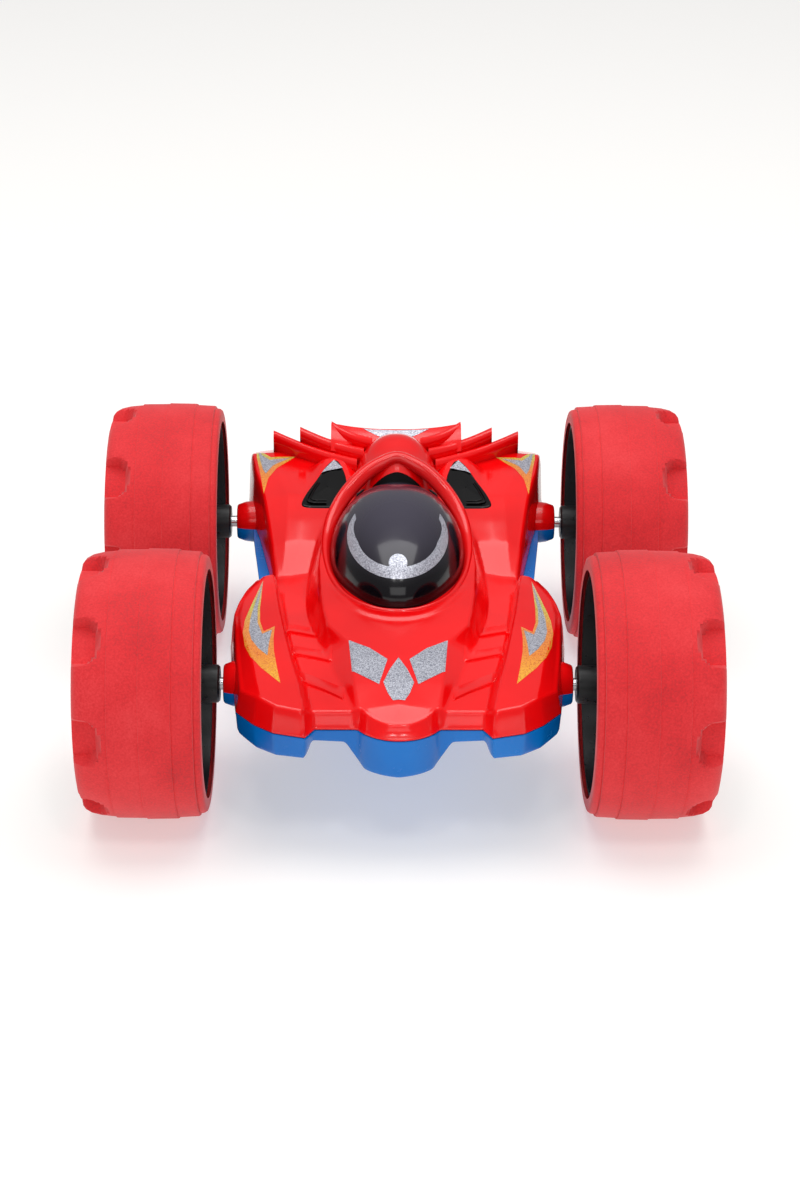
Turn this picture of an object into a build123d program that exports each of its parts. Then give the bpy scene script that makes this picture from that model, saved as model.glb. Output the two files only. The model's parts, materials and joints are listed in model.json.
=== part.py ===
"""A radio-controlled stunt car that drives either way up: a flat body slung between four big wheels.

Frame: origin on the ground under the middle of the four wheels, +X to the driver's side that is on the right
when the nose is looked at, +Y towards the tail, +Z up. Millimetres.
"""

import os
from math import acos, cos, pi, radians, sin, tan

from build123d import *

# ---------------------------------------------------------------- driving dimensions
wheel_diameter = 85.0
wheel_width = 39.0
wheelbase = 130.0
front_wheel_x = 79.0  # middle of a front wheel, from the car's middle plane
rear_wheel_x = 82.0
axle_z = wheel_diameter / 2
front_axle_y = -wheelbase / 2
rear_axle_y = wheelbase / 2

wall = 1.8  # moulded shell thickness
seam_z = axle_z  # the two shells part at axle height
fit_gap = 0.15  # between two moulded pieces that touch
running_gap = 0.05  # radial, between a shaft and its bush

axle_r = 2.0
bush_r = 3.2
boss_root_r = 7.4
boss_tip_r = 6.0
front_boss_end = 54.8  # how far the bosses reach from the middle plane
rear_boss_end = 57.2
front_hub_end = 56.0  # where the wheel hubs start
rear_hub_end = 59.4

gear_module = 0.8
pinion_teeth = 10
wheel_gear_teeth = 30
gear_centres = gear_module * (pinion_teeth + wheel_gear_teeth) / 2 + 0.12
idler_y = rear_axle_y - gear_centres
motor_y = idler_y - gear_centres

SIDES = {"left": -1, "right": 1}
UPWARDS = (Align.CENTER, Align.CENTER, Align.MIN)
DOWNWARDS = (Align.CENTER, Align.CENTER, Align.MAX)

os.makedirs("parts", exist_ok=True)


def save(builder, name):
    """Labels a finished piece and writes it to its own STEP file."""
    builder.part.label = name
    export_step(builder.part, f"parts/{name}.step")
    return builder.part


def along_x(x, y=0.0, z=axle_z, side=1):
    """A plane whose normal points away from the car's middle on the given side, at x from the middle."""
    return Plane(origin=(side * x, y, z), x_dir=(0, side, 0), z_dir=(side, 0, 0))


# ---------------------------------------------------------------- body shells: outlines and cross-sections
NOSE = [(0.0, -103.6), (6.5, -101.9), (12.4, -96.5)]
FRONT = [
    (25.5, -96.2), (28.3, -101.7), (38.1, -98.6), (44.3, -93.2), (50.1, -85.0), (52.2, -65.0), (54.2, -38.0),
]
UPPER_WAIST = [(51.5, -22.0), (46.0, -4.0), (42.6, 9.6), (47.7, 48.0)]
LOWER_WAIST = [(51.5, -22.0), (46.8, -4.0), (46.8, 9.6), (50.6, 48.0)]
REAR = [(50.5, 65.0), (53.0, 85.0), (51.5, 94.0), (44.0, 99.5), (20.0, 101.0)]

# Half cross-sections from the middle outwards: middle, hood edge, hood foot, valley edge, inside of the
# fender's ridge, outside of the ridge, side. Each point is (x, z).
UPPER_SECTIONS = {
    -106.0: [(0, 47.6), (12, 47.2), (13, 47.6), (25.5, 47.8), (28, 50.8), (38, 50.6), (60, 43.5)],
    -96.0: [(0, 51.0), (13, 50.2), (13.8, 48.6), (26, 48.2), (29.3, 51.6), (42, 51.8), (60, 44.5)],
    -84.0: [(0, 53.2), (14, 52.4), (16.6, 49.8), (28, 49.6), (31, 53.4), (44.3, 53.2), (60, 44.5)],
    -60.0: [(0, 56.0), (15.5, 55.0), (23, 51.2), (32.6, 50.2), (35.2, 55.2), (48, 55.0), (60, 45.5)],
    -46.0: [(0, 57.2), (23, 56.4), (27, 52.4), (34.6, 49.4), (37.2, 55.6), (50.6, 55.4), (60, 47.0)],
    -30.0: [(0, 58.0), (23.5, 58.4), (27.2, 52.4), (36.2, 48.4), (38.8, 55.8), (51, 55.0), (60, 47.5)],
    -8.0: [(0, 58.6), (25, 59.4), (29, 50.4), (38, 47.4), (41, 55.4), (44.4, 54.8), (60, 43.4)],
    -2.0: [(0, 58.8), (25, 59.6), (29, 50.2), (37.6, 47.2), (39.6, 47.6), (42.8, 47.2), (60, 43.4)],
    8.0: [(0, 59.2), (25, 60.0), (29, 50.2), (36, 47.0), (38.4, 46.6), (41, 46.0), (60, 43.4)],
    14.0: [(0, 59.6), (25, 60.0), (27.2, 55.2), (33, 53.0), (38, 53.2), (43, 51.4), (60, 45.0)],
    40.0: [(0, 62.4), (18, 62.0), (21, 61.6), (33, 61.4), (39, 61.6), (48.4, 58.6), (60, 50.0)],
    60.0: [(0, 64.0), (16, 63.6), (20, 62.8), (34, 62.4), (42, 62.8), (51, 61.2), (60, 55.0)],
    80.0: [(0, 68.0), (16, 67.2), (22, 65.0), (34, 63.8), (43, 63.6), (52, 62.6), (60, 58.0)],
    104.0: [(0, 58.4), (16, 58.0), (22, 57.5), (34, 56.8), (43, 55.7), (50, 54.6), (60, 52.0)],
}
LOWER_SECTIONS = {
    -106.0: [(0, 30.0), (10, 30.8), (15.2, 38.4), (26.4, 38.8), (27.6, 35.0), (40, 34.6), (60, 34.8)],
    -96.0: [(0, 28.4), (10.5, 29.4), (15.8, 38.0), (26.6, 38.4), (28, 34.8), (42, 34.2), (60, 34.8)],
    -80.0: [(0, 22.0), (11.5, 23.6), (18.5, 34.4), (28, 36.2), (31, 33.6), (45, 33.8), (60, 37.4)],
    -50.0: [(0, 13.0), (17, 15.5), (31, 28.0), (34, 33.6), (37, 31.4), (48, 31.6), (60, 38.0)],
    -34.0: [(0, 9.0), (31, 9.1), (34, 26.0), (36, 33.4), (38.5, 31.4), (49, 32.0), (60, 38.4)],
    -8.0: [(0, 9.0), (31, 9.1), (34, 26.0), (38, 35.4), (41, 36.2), (43, 37.2), (60, 39.6)],
    20.0: [(0, 9.0), (33, 9.1), (36, 24.0), (39, 32.0), (42, 35.4), (44, 36.8), (60, 39.2)],
    34.0: [(0, 9.0), (36, 9.1), (38.8, 24.0), (41, 31.0), (43.6, 34.8), (46, 36.6), (60, 39.0)],
    60.0: [(0, 12.0), (36, 13.0), (38.8, 24.6), (41.4, 28.6), (44, 30.6), (48.6, 32.6), (60, 37.0)],
    84.0: [(0, 20.0), (34, 21.0), (37.4, 26.6), (41.2, 29.6), (44.4, 31.0), (49, 33.4), (60, 37.4)],
    104.0: [(0, 33.0), (26, 33.4), (32, 34.2), (38, 35.2), (42, 35.7), (47, 36.4), (60, 38.4)],
}


def inset_upper(points):
    """The cross-section of the space under the upper skin."""
    shifts = [0, -1.0, -1.4, 1.4, 1.5, -0.8, 0]
    return [(x + dx, max(z - wall * 1.15, seam_z + 0.4)) for (x, z), dx in zip(points, shifts)]


def inset_lower(points):
    """The cross-section of the space above the lower skin."""
    shifts = [0, -1.2, -1.9, 1.2, 1.4, -0.8, 0]
    return [(x + dx, min(z + wall * 1.15, seam_z - 0.6)) for (x, z), dx in zip(points, shifts)]


def section(y, half):
    """A closed cross-section at y: half the skin line, its mirror image, and the seam plane."""
    far_x = half[-1][0]
    skin = [(-x, z) for x, z in reversed(half)] + list(half[1:])
    with BuildSketch(Plane.XZ.offset(-y)) as sketch:
        with BuildLine():
            Polyline([(far_x, seam_z), (-far_x, seam_z)] + skin, close=True)
        make_face()
    return sketch.sketch


def outline(waist, height, inset=0.0):
    """The body's outline seen from above, as a face at the given height."""
    flank = FRONT + waist + REAR
    with BuildSketch(Plane.XY.offset(height)) as sketch:
        with BuildLine():
            ThreePointArc((-NOSE[2][0], NOSE[2][1]), NOSE[0], NOSE[2])
            far_flank = [(-x, y) for x, y in reversed(flank)]
            Polyline([NOSE[2]] + flank + far_flank + [(-NOSE[2][0], NOSE[2][1])])
        make_face()
        if inset:
            offset(amount=-inset, kind=Kind.INTERSECTION, mode=Mode.REPLACE)
    return sketch.sketch


def body_form(sections, waist, inset=0.0, reshape=None):
    """The solid under (or over) one skin of the body, trimmed to the outline."""
    with BuildPart() as form:
        for y, half in sections.items():
            add(section(y, reshape(half) if reshape else half))
        loft(ruled=True)
        trim = outline(waist, 0, inset)
        extrude(trim, amount=wheel_diameter, mode=Mode.INTERSECT)
    return form.part


# ---------------------------------------------------------------- canopy dome and the hoop behind it
dome_z = 58.0
dome_y = -2.0
dome_radius = 21.3
dome_half_length = 40.0
hoop_foot = (1.0, 60.0)  # (y, z) on the raked front face of the hoop
hoop_crown = (20.0, 79.4)
HOOP_SECTIONS = {
    -14.0: [(0, 80.4), (8, 77.6), (17, 68.4), (24.6, 52.0)],
    34.0: [(0, 80.6), (9, 77.8), (17, 69.6), (22.6, 54.0)],
    60.0: [(0, 78.6), (9, 76.6), (14, 71.6), (18.6, 58.0)],
    80.0: [(0, 71.0), (8, 70.0), (12, 67.0), (16.0, 60.0)],
}


def dome(radius, half_length):
    """A cigar-shaped solid lying along Y; its top is the canopy's outer surface."""
    with BuildPart() as body:
        with BuildSketch(Plane.YZ):
            with Locations((dome_y, dome_z)):
                Ellipse(half_length, radius)
            with Locations((dome_y, dome_z - radius)):
                Rectangle(3 * half_length, 2 * radius, mode=Mode.SUBTRACT)
        revolve(axis=Axis((0, 0, dome_z), (0, 1, 0)), revolution_arc=360)
    return body.part


def hoop_form(inset=0.0):
    """The hump from the roll hoop back over the headrest, cut off at the front by the hoop's raked face."""
    rake = Vector(0, hoop_crown[0] - hoop_foot[0], hoop_crown[1] - hoop_foot[1])
    ahead = Vector(0, -rake.Z, rake.Y)
    with BuildPart() as hump:
        for y, half in HOOP_SECTIONS.items():
            shrunk = [(max(x - inset * 0.8, 0), z - inset) for x, z in half]
            skin = [(-x, z) for x, z in reversed(shrunk)] + shrunk[1:]
            with BuildSketch(Plane.XZ.offset(-y)):
                with BuildLine():
                    Polyline([(shrunk[-1][0], 46), (-shrunk[-1][0], 46)] + skin, close=True)
                make_face()
        loft(ruled=True)
        if not inset:
            face = Plane(origin=(0, hoop_foot[0], hoop_foot[1]), x_dir=(1, 0, 0), z_dir=ahead)
            split(bisect_by=face, keep=Keep.BOTTOM)
    return hump.part


# ---------------------------------------------------------------- tail feathers
# One raised blade per line: inner end (x, y), outer tip (x, y), height at the inner end and at the tip, drop.
FEATHERS = [
    ((8.5, 65.0), (23.4, 77.0), 74.4, 76.2, 6.0),
    ((11.0, 63.0), (34.7, 78.0), 71.2, 73.4, 5.4),
    ((13.0, 59.5), (44.6, 82.0), 68.0, 70.6, 5.4),
]


def feather(inner, tip, inner_z, tip_z, drop, side):
    """A blade that rises from the hump to its tip: a thin slab behind a stepped front face."""
    tail_y = 96.0
    with BuildPart() as blade:
        for (x, y), top, low in ((inner, inner_z, inner_z - drop), (tip, tip_z, tip_z - drop)):
            with BuildSketch(Plane.YZ.offset(side * x)):
                with BuildLine():
                    Polyline([(y, low), (y, top), (tail_y, top - 5.0), (tail_y, low - 6.0)], close=True)
                make_face()
        loft(ruled=True)
    return blade.part


# ---------------------------------------------------------------- features shared by both shells
SHELL_SCREWS = [(-39.0, -80.0), (39.0, -80.0), (-21.0, -66.0), (21.0, -66.0), (-37.0, 86.0), (37.0, 86.0)]
screw_r = 1.3
screw_head_r = 2.6
screw_head_z = 36.0  # top of every screw head
screw_tip_z = 48.0
post_r = 3.4
boss_inner = 44.0  # where the axle bosses start, inside the body

battery_cover_size = (48.0, 36.0)
battery_y = -14.0
floor_z = 9.0
floor_top = 11.2
switch_centre = (-14.0, 24.0)
switch_travel = 4.0
socket_centre = (14.0, 24.0)
socket_r = 3.4
socket_bore_r = 1.75
socket_bore_length = 9.0


INTAKE_CORNERS = [(17.8, 37.4), (32.6, 37.2), (22.2, 62.4)]
INTAKE_FRONT_BULGE = (25.2, 36.4)
INTAKE_OUTER_BULGE = (30.2, 50.6)
INTAKE_INNER_BULGE = (17.8, 50.0)
intake_floor = 58.4
intake_top = 61.2


def boss_half(upper):
    """The halves of the four axle bosses that belong to one shell: tapered, and split at axle height."""
    with BuildPart() as bosses:
        for side in SIDES.values():
            for y, end in ((front_axle_y, front_boss_end), (rear_axle_y, rear_boss_end)):
                for start, start_r, stop, stop_r in (
                    (boss_inner, boss_root_r, end - 2.6, boss_root_r - 0.4),
                    (end - 2.6, boss_root_r - 0.4, end, boss_tip_r),
                ):
                    with BuildSketch(along_x(start, y, side=side)):
                        Circle(start_r)
                    with BuildSketch(along_x(stop, y, side=side)):
                        Circle(stop_r)
                    loft()
        split(bisect_by=Plane.XY.offset(seam_z), keep=Keep.TOP if upper else Keep.BOTTOM)
    return bosses.part


def axle_bores():
    """The bush seats through the four bosses."""
    with BuildPart() as bores:
        for side in SIDES.values():
            for y in (front_axle_y, rear_axle_y):
                with BuildSketch(along_x(boss_inner - 1, y, side=side)):
                    Circle(bush_r)
                extrude(amount=30)
    return bores.part


def screw_posts(form):
    """The posts that the shell screws run in, trimmed to the shell's outer form."""
    with BuildPart() as posts:
        with Locations(*[(x, y, wheel_diameter / 2) for x, y in SHELL_SCREWS]):
            Cylinder(post_r + 1.0, wheel_diameter)
        add(form, mode=Mode.INTERSECT)
    return posts.part


def intake_block(side, low, high, shrink=0.0):
    """The curved triangle of the intake beside the headrest, as a block between two heights."""
    front_inner, front_outer, apex = INTAKE_CORNERS
    bulges = (INTAKE_FRONT_BULGE, INTAKE_OUTER_BULGE, INTAKE_INNER_BULGE)
    with BuildPart() as block:
        with BuildSketch(Plane.XY.offset(low)):
            with BuildLine():
                for start, middle, end in zip(INTAKE_CORNERS, bulges, (front_outer, apex, front_inner)):
                    ThreePointArc(*[(side * x, y) for x, y in (start, middle, end)])
            make_face()
            if shrink:
                offset(amount=-shrink, kind=Kind.INTERSECTION, mode=Mode.REPLACE)
        extrude(amount=high - low)
    return block.part


# ---------------------------------------------------------------- upper shell, glossy red
with BuildPart() as upper_shell:
    upper_form = body_form(UPPER_SECTIONS, UPPER_WAIST)
    add(upper_form)
    add(hoop_form())
    for line in FEATHERS:
        for side in SIDES.values():
            add(feather(*line, side))
    add(body_form(UPPER_SECTIONS, UPPER_WAIST, wall, inset_upper), mode=Mode.SUBTRACT)
    add(hoop_form(2.2), mode=Mode.SUBTRACT)
    add(dome(dome_radius + fit_gap, dome_half_length + fit_gap), mode=Mode.SUBTRACT)
    for side in SIDES.values():
        add(intake_block(side, 50.0, 80.0), mode=Mode.SUBTRACT)
    add(boss_half(True))
    add(screw_posts(upper_form))
    with Locations(*[(x, y, seam_z) for x, y in SHELL_SCREWS]):
        Cylinder(screw_r, screw_tip_z - seam_z, align=UPWARDS, mode=Mode.SUBTRACT)
    add(axle_bores(), mode=Mode.SUBTRACT)
save(upper_shell, "upper_shell")

# ---------------------------------------------------------------- lower shell, glossy blue
with BuildPart() as lower_shell:
    lower_form = body_form(LOWER_SECTIONS, LOWER_WAIST)
    add(lower_form)
    add(body_form(LOWER_SECTIONS, LOWER_WAIST, wall, inset_lower), mode=Mode.SUBTRACT)
    add(boss_half(False))
    add(screw_posts(lower_form))
    with Locations(*[(x, y, seam_z) for x, y in SHELL_SCREWS]):
        Cylinder(screw_r + fit_gap, seam_z, align=DOWNWARDS, mode=Mode.SUBTRACT)
    with Locations(*[(x, y, screw_head_z) for x, y in SHELL_SCREWS]):
        Cylinder(screw_head_r + 0.2, screw_head_z, align=DOWNWARDS, mode=Mode.SUBTRACT)
    with Locations((0, battery_y, floor_z)):
        Box(*battery_cover_size, 6, mode=Mode.SUBTRACT)
    with Locations((*switch_centre, floor_z)):
        Box(5, 5 + switch_travel + 1, 6, mode=Mode.SUBTRACT)
    with Locations((*socket_centre, floor_z)):
        Cylinder(socket_r + 0.1, 8, mode=Mode.SUBTRACT)
    add(axle_bores(), mode=Mode.SUBTRACT)
save(lower_shell, "lower_shell")

# ---------------------------------------------------------------- canopy, cockpit and intakes
canopy_edge_z = 55.2
canopy_wall = 1.6
canopy_sweep = 2 * 97.0  # degrees about the dome's long axis, a little more than a half turn
canopy_start = radians(canopy_sweep / 2)
with BuildPart() as canopy:
    start_edge = Vector(sin(canopy_start), 0, cos(canopy_start))
    profile_normal = Vector(0, 1, 0).cross(start_edge)
    with BuildSketch(Plane(origin=(0, dome_y, dome_z), x_dir=(0, 1, 0), z_dir=profile_normal)):
        Ellipse(dome_half_length, dome_radius)
        Ellipse(dome_half_length - canopy_wall, dome_radius - canopy_wall, mode=Mode.SUBTRACT)
        with Locations((0, -dome_radius)):
            Rectangle(3 * dome_half_length, 2 * dome_radius, mode=Mode.SUBTRACT)
    revolve(axis=Axis((0, 0, dome_z), (0, 1, 0)), revolution_arc=canopy_sweep)
save(canopy, "canopy")

tub_depth = 2.2
with BuildPart() as cockpit_tub:
    with BuildSketch(Plane.XY.offset(canopy_edge_z)):
        with Locations((0, dome_y)):
            Ellipse(dome_radius + 1.4, dome_half_length + 0.4)
    extrude(amount=-tub_depth)
    with BuildSketch(Plane.XY.offset(canopy_edge_z)):
        with Locations((0, dome_y)):
            Ellipse(dome_radius - 3.6, dome_half_length - 4.6)
    extrude(amount=-(tub_depth - 1.0), mode=Mode.SUBTRACT)
save(cockpit_tub, "cockpit_tub")

with BuildPart() as hoop_liner:
    with BuildSketch(Plane.XZ.offset(-30.0)):
        with BuildLine():
            half = [(16.4, 57.6), (13.8, 67.4), (6.4, 73.6)]
            Polyline([(-x, z) for x, z in reversed(half[:1])] + half + [(0, 76.2)]
                     + [(-x, z) for x, z in reversed(half[1:])], close=True)
        make_face()
    extrude(amount=-1.4)
    add(dome(dome_radius + fit_gap, dome_half_length + fit_gap), mode=Mode.SUBTRACT)
save(hoop_liner, "hoop_liner")

for side_name, side in SIDES.items():
    with BuildPart() as insert:
        add(intake_block(side, intake_floor, intake_top, fit_gap))
        for step in range(4):
            with Locations((side * 24.6, 40.0 + 4.0 * step, intake_top)):
                Box(9.0 - 1.6 * step, 1.4, 3.0, mode=Mode.SUBTRACT)
    save(insert, f"{side_name}_intake_insert")

# ---------------------------------------------------------------- wheels
tyre_bore_r = 36.0
cap_r = 33.9
web_thickness = 2.5
web_setback = 12.0  # the web's inner face, from the wheel's outer face
notch_count = 8
rib_count = 6
wheel_screw_r = 1.25

WHEELS = {
    "front_left": (-1, front_axle_y, front_wheel_x, front_hub_end, 42.0),
    "front_right": (1, front_axle_y, front_wheel_x, front_hub_end, 42.0),
    "rear_left": (-1, rear_axle_y, rear_wheel_x, rear_hub_end, 22.6),
    "rear_right": (1, rear_axle_y, rear_wheel_x, rear_hub_end, 22.6),
}


def turned(points, side, y):
    """A solid turned about a wheel axle; each point is (distance from the middle plane, radius)."""
    with BuildPart() as solid:
        with BuildSketch(Plane(origin=(0, y, axle_z), x_dir=(side, 0, 0), z_dir=(0, -side, 0))):
            with BuildLine():
                Polyline(points, close=True)
            make_face()
        revolve(axis=Axis((0, y, axle_z), (1, 0, 0)))
    return solid.part


def round_wheel(x, radius, side, y, count, offset):
    """Evenly spaced places round a wheel at one radius, x from the middle plane; local X points outwards."""
    wheel_plane = Plane.YZ.offset(side * x)
    for i in range(count):
        turn = 360 / count * (i + offset)
        yield wheel_plane * Location((y, axle_z, 0), (0, 0, turn)) * Location((radius, 0, 0))


# The tread from the body side outwards: (distance from the wheel's inner face, radius), in three low steps.
TREAD = [
    (0.0, 39.6), (1.0, 40.6), (2.2, 40.9), (2.2, 41.5), (8.5, 42.0), (8.5, 42.3), (19.0, 42.5), (27.5, 42.3),
    (27.5, 41.9), (34.0, 41.2), (38.0, 39.4), (39.0, 37.6),
]
notch_size = (7.2, 14.0, 7.4)  # radial, round the wheel, and in from its outer face


for wheel_name, (side, y, middle, hub_end, axle_start) in WHEELS.items():
    inner = middle - wheel_width / 2
    outer = middle + wheel_width / 2
    web = outer - web_setback
    web_face = web + web_thickness

    with BuildPart() as tyre:
        tread = [(inner + d, r) for d, r in TREAD]
        add(turned([(inner, tyre_bore_r)] + tread + [(outer, tyre_bore_r)], side, y))
        with Locations(*round_wheel(outer - notch_size[2] / 2 + 0.1, 42.6, side, y, notch_count, 0.5)):
            Box(*notch_size, mode=Mode.SUBTRACT)
    save(tyre, f"tyre_{wheel_name}")

    with BuildPart() as rim:
        add(turned([
            (hub_end, axle_r), (hub_end, 5.4), (hub_end + 0.6, 6.0), (web - 6, 6.0), (web, 8.6), (web, 34.0),
            (inner + 1.2, 34.6), (inner + 1.2, tyre_bore_r), (outer - 1.2, tyre_bore_r), (outer - 1.2, 34.2),
            (web_face, 34.0), (web_face, wheel_screw_r), (web - 2, wheel_screw_r), (web - 2, axle_r),
        ], side, y))
        with Locations(*round_wheel(web - 2.0, 21.0, side, y, rib_count, 0.5)):
            Box(28.0, 1.8, 4.4)
    save(rim, f"rim_{wheel_name}")

    with BuildPart() as cap:
        add(turned([
            (web_face, 7.0), (web_face, 9.4), (outer - 4.0, 9.4), (outer - 4.0, cap_r), (outer - 1.8, cap_r),
            (outer - 0.6, 31.6), (outer + 0.2, 24.0), (outer + 0.9, 12.0), (outer + 1.2, 6.0),
            (outer + 1.2, 0.0), (outer - 2.4, 0.0), (outer - 2.4, 7.0),
        ], side, y))
        with Locations(*round_wheel(outer + 0.2, 20.5, side, y, rib_count, 0.0)):
            Box(14.0, 8.0, 3.0, mode=Mode.SUBTRACT)
    save(cap, f"hub_cap_{wheel_name}")

    with BuildPart() as axle:
        add(turned([
            (axle_start, 0.0), (axle_start, axle_r), (web - 2, axle_r), (web - 2, wheel_screw_r),
            (web - 10, wheel_screw_r), (web - 10, 0.0),
        ], side, y))
        if y == front_axle_y:
            end = axle_start + 1.2
            add(turned([(axle_start, axle_r), (axle_start, 3.4), (end, 3.4), (end, axle_r)], side, y))
    save(axle, f"axle_{wheel_name}")

    with BuildPart() as wheel_screw:
        add(turned([
            (web - 10, 0.0), (web - 10, wheel_screw_r), (web_face, wheel_screw_r), (web_face, 3.2),
            (web_face + 1.2, 3.0), (web_face + 2.0, 1.8), (web_face + 2.0, 0.0),
        ], side, y))
        with Locations((side * (web_face + 2.0), y, axle_z)):
            Box(1.6, 3.2, 0.7, mode=Mode.SUBTRACT)
            Box(1.6, 0.7, 3.2, mode=Mode.SUBTRACT)
    save(wheel_screw, f"wheel_screw_{wheel_name}")

with BuildPart() as axle_bushes:
    for side in SIDES.values():
        for y, end in ((front_axle_y, front_boss_end), (rear_axle_y, rear_boss_end)):
            low, bore = boss_inner + 0.2, axle_r + running_gap
            add(turned([(low, bore), (low, bush_r), (end - 0.4, bush_r), (end - 0.4, bore)], side, y))
save(axle_bushes, "axle_bushes")

# ---------------------------------------------------------------- gears
pressure_angle = radians(25)
tooth_play = 0.22  # taken off the tooth thickness at the pitch circle


def involute_angle(base, radius):
    """How far the involute has turned from the base circle to the radius."""
    a = acos(min(base / radius, 1.0))
    return tan(a) - a


def gear(teeth, low, high, side, y, bore, phase):
    """A spur gear about an axle line, between two distances from the middle plane, bored right through."""
    pitch = gear_module * teeth / 2
    base = pitch * cos(pressure_angle)
    root = pitch - 1.15 * gear_module
    tip = pitch + 0.85 * gear_module
    half = (pi * gear_module / 2 - tooth_play) / 2 / pitch + involute_angle(base, pitch)
    flank = [root, max(base, root + 0.05), pitch, tip]
    points = []
    for i in range(teeth):
        middle = 2 * pi * i / teeth + phase
        rising = [(r, middle - half + (involute_angle(base, r) if r > base else 0.0)) for r in flank]
        falling = [(r, 2 * middle - a) for r, a in reversed(rising)]
        points += [(r * cos(a), r * sin(a)) for r, a in rising + falling]
    with BuildPart() as wheel:
        with BuildSketch(Plane.YZ.offset(side * low)):
            with Locations((y, axle_z)):
                with BuildLine():
                    Polyline([(y + py, axle_z + pz) for py, pz in points], close=True)
                make_face()
                Circle(bore, mode=Mode.SUBTRACT)
        extrude(amount=side * (high - low))
    return wheel.part


idler_pin_r = 1.25
motor_shaft_r = 1.0
small_phase = pi / pinion_teeth  # turns a gap of the small gear towards its partner's tooth
inner_plate = (21.4, 23.0)
pinion_plane = (24.0, 27.6)
axle_gear_plane = (28.2, 32.4)
cover_plate = (33.2, 35.0)
case_wall = 1.5


def case_outline(grow):
    """The gearbox's outline: three overlapping rounds about the motor, idler and axle lines."""
    for y, r in ((motor_y, 6.4), (idler_y, 13.6), (rear_axle_y, 13.6)):
        with Locations((y, axle_z)):
            Circle(r + grow)
    with Locations(((motor_y + idler_y) / 2, axle_z), ((rear_axle_y + idler_y) / 2, axle_z)):
        Rectangle(gear_centres, 2 * (5.4 + grow))


for side_name, side in SIDES.items():
    with BuildPart() as axle_gear:
        add(gear(wheel_gear_teeth, *axle_gear_plane, side, rear_axle_y, axle_r, 0.0))
    save(axle_gear, f"{side_name}_axle_gear")

    with BuildPart() as idler_gear:
        add(gear(wheel_gear_teeth, *pinion_plane, side, idler_y, idler_pin_r + running_gap, 0.0))
        bore = idler_pin_r + running_gap
        add(gear(pinion_teeth, pinion_plane[1], axle_gear_plane[1], side, idler_y, bore, small_phase))
    save(idler_gear, f"{side_name}_idler_gear")

    with BuildPart() as idler_pin:
        with BuildSketch(along_x(inner_plate[0], idler_y, side=side)):
            Circle(idler_pin_r)
        extrude(amount=cover_plate[1] - inner_plate[0])
    save(idler_pin, f"{side_name}_idler_pin")

    with BuildPart() as motor_pinion:
        add(gear(pinion_teeth, *pinion_plane, side, motor_y, 0.4, small_phase))
        add(turned([(3.0, 0), (3.0, motor_shaft_r), (29.4, motor_shaft_r), (29.4, 0)], side, motor_y))
    save(motor_pinion, f"{side_name}_motor_pinion")

    with BuildPart() as motor:
        bearing_r = motor_shaft_r + running_gap
        add(turned([
            (1.2, bearing_r), (1.2, 3.0), (2.4, 3.0), (2.4, 10.0), (19.6, 10.0), (19.6, 3.0), (21.0, 3.0),
            (21.0, bearing_r),
        ], side, motor_y))
        split(bisect_by=Plane.XY.offset(axle_z + 7.6), keep=Keep.BOTTOM)
        split(bisect_by=Plane.XY.offset(axle_z - 7.6), keep=Keep.TOP)
    save(motor, f"{side_name}_motor")

    with BuildPart() as gearbox_case:
        with BuildSketch(Plane.YZ.offset(side * inner_plate[0])):
            case_outline(case_wall)
        extrude(amount=side * (cover_plate[0] - inner_plate[0]))
        with BuildSketch(Plane.YZ.offset(side * inner_plate[1])):
            case_outline(0)
        extrude(amount=side * (cover_plate[0] - inner_plate[1]), mode=Mode.SUBTRACT)
        for y, r in ((motor_y, 3.2), (idler_y, idler_pin_r), (rear_axle_y, axle_r + running_gap)):
            with BuildSketch(along_x(inner_plate[0] - 1, y, side=side)):
                Circle(r)
            extrude(amount=4, mode=Mode.SUBTRACT)
    save(gearbox_case, f"{side_name}_gearbox_case")

    with BuildPart() as gearbox_cover:
        with BuildSketch(Plane.YZ.offset(side * cover_plate[0])):
            case_outline(case_wall)
        extrude(amount=side * (cover_plate[1] - cover_plate[0]))
        for y, r in ((idler_y, idler_pin_r), (rear_axle_y, axle_r + running_gap)):
            with BuildSketch(along_x(cover_plate[0] - 1, y, side=side)):
                Circle(r)
            extrude(amount=4, mode=Mode.SUBTRACT)
    save(gearbox_cover, f"{side_name}_gearbox_cover")

# ---------------------------------------------------------------- electrics
board_z = 40.0
board_size = (52.0, 40.0, 1.6)
battery_size = (44.0, 32.0, 15.0)
bay_top = 29.0

with BuildPart() as battery_pack:
    with BuildSketch(Plane.XY.offset(13.0)):
        with Locations((0, battery_y)):
            RectangleRounded(battery_size[0], battery_size[1], 2)
    extrude(amount=battery_size[2])
    fillet(battery_pack.edges().filter_by(Axis.X), 3.0)
save(battery_pack, "battery_pack")

with BuildPart() as battery_box:
    with BuildSketch(Plane.XY.offset(floor_top)):
        with Locations((0, battery_y)):
            Rectangle(battery_cover_size[0] + 3.2, battery_cover_size[1] + 3.2)
            Rectangle(battery_cover_size[0], battery_cover_size[1], mode=Mode.SUBTRACT)
    extrude(amount=bay_top - floor_top)
    with BuildSketch(Plane.XY.offset(bay_top)):
        with Locations((0, battery_y)):
            Rectangle(battery_cover_size[0] + 3.2, battery_cover_size[1] + 3.2)
    extrude(amount=1.6)
    with Locations(*[(x, battery_y + y, bay_top + 1.6) for x in (-20, 20) for y in (-15, 15)]):
        Cylinder(2.2, board_z - bay_top - 1.6, align=UPWARDS)
save(battery_box, "battery_box")

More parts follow.
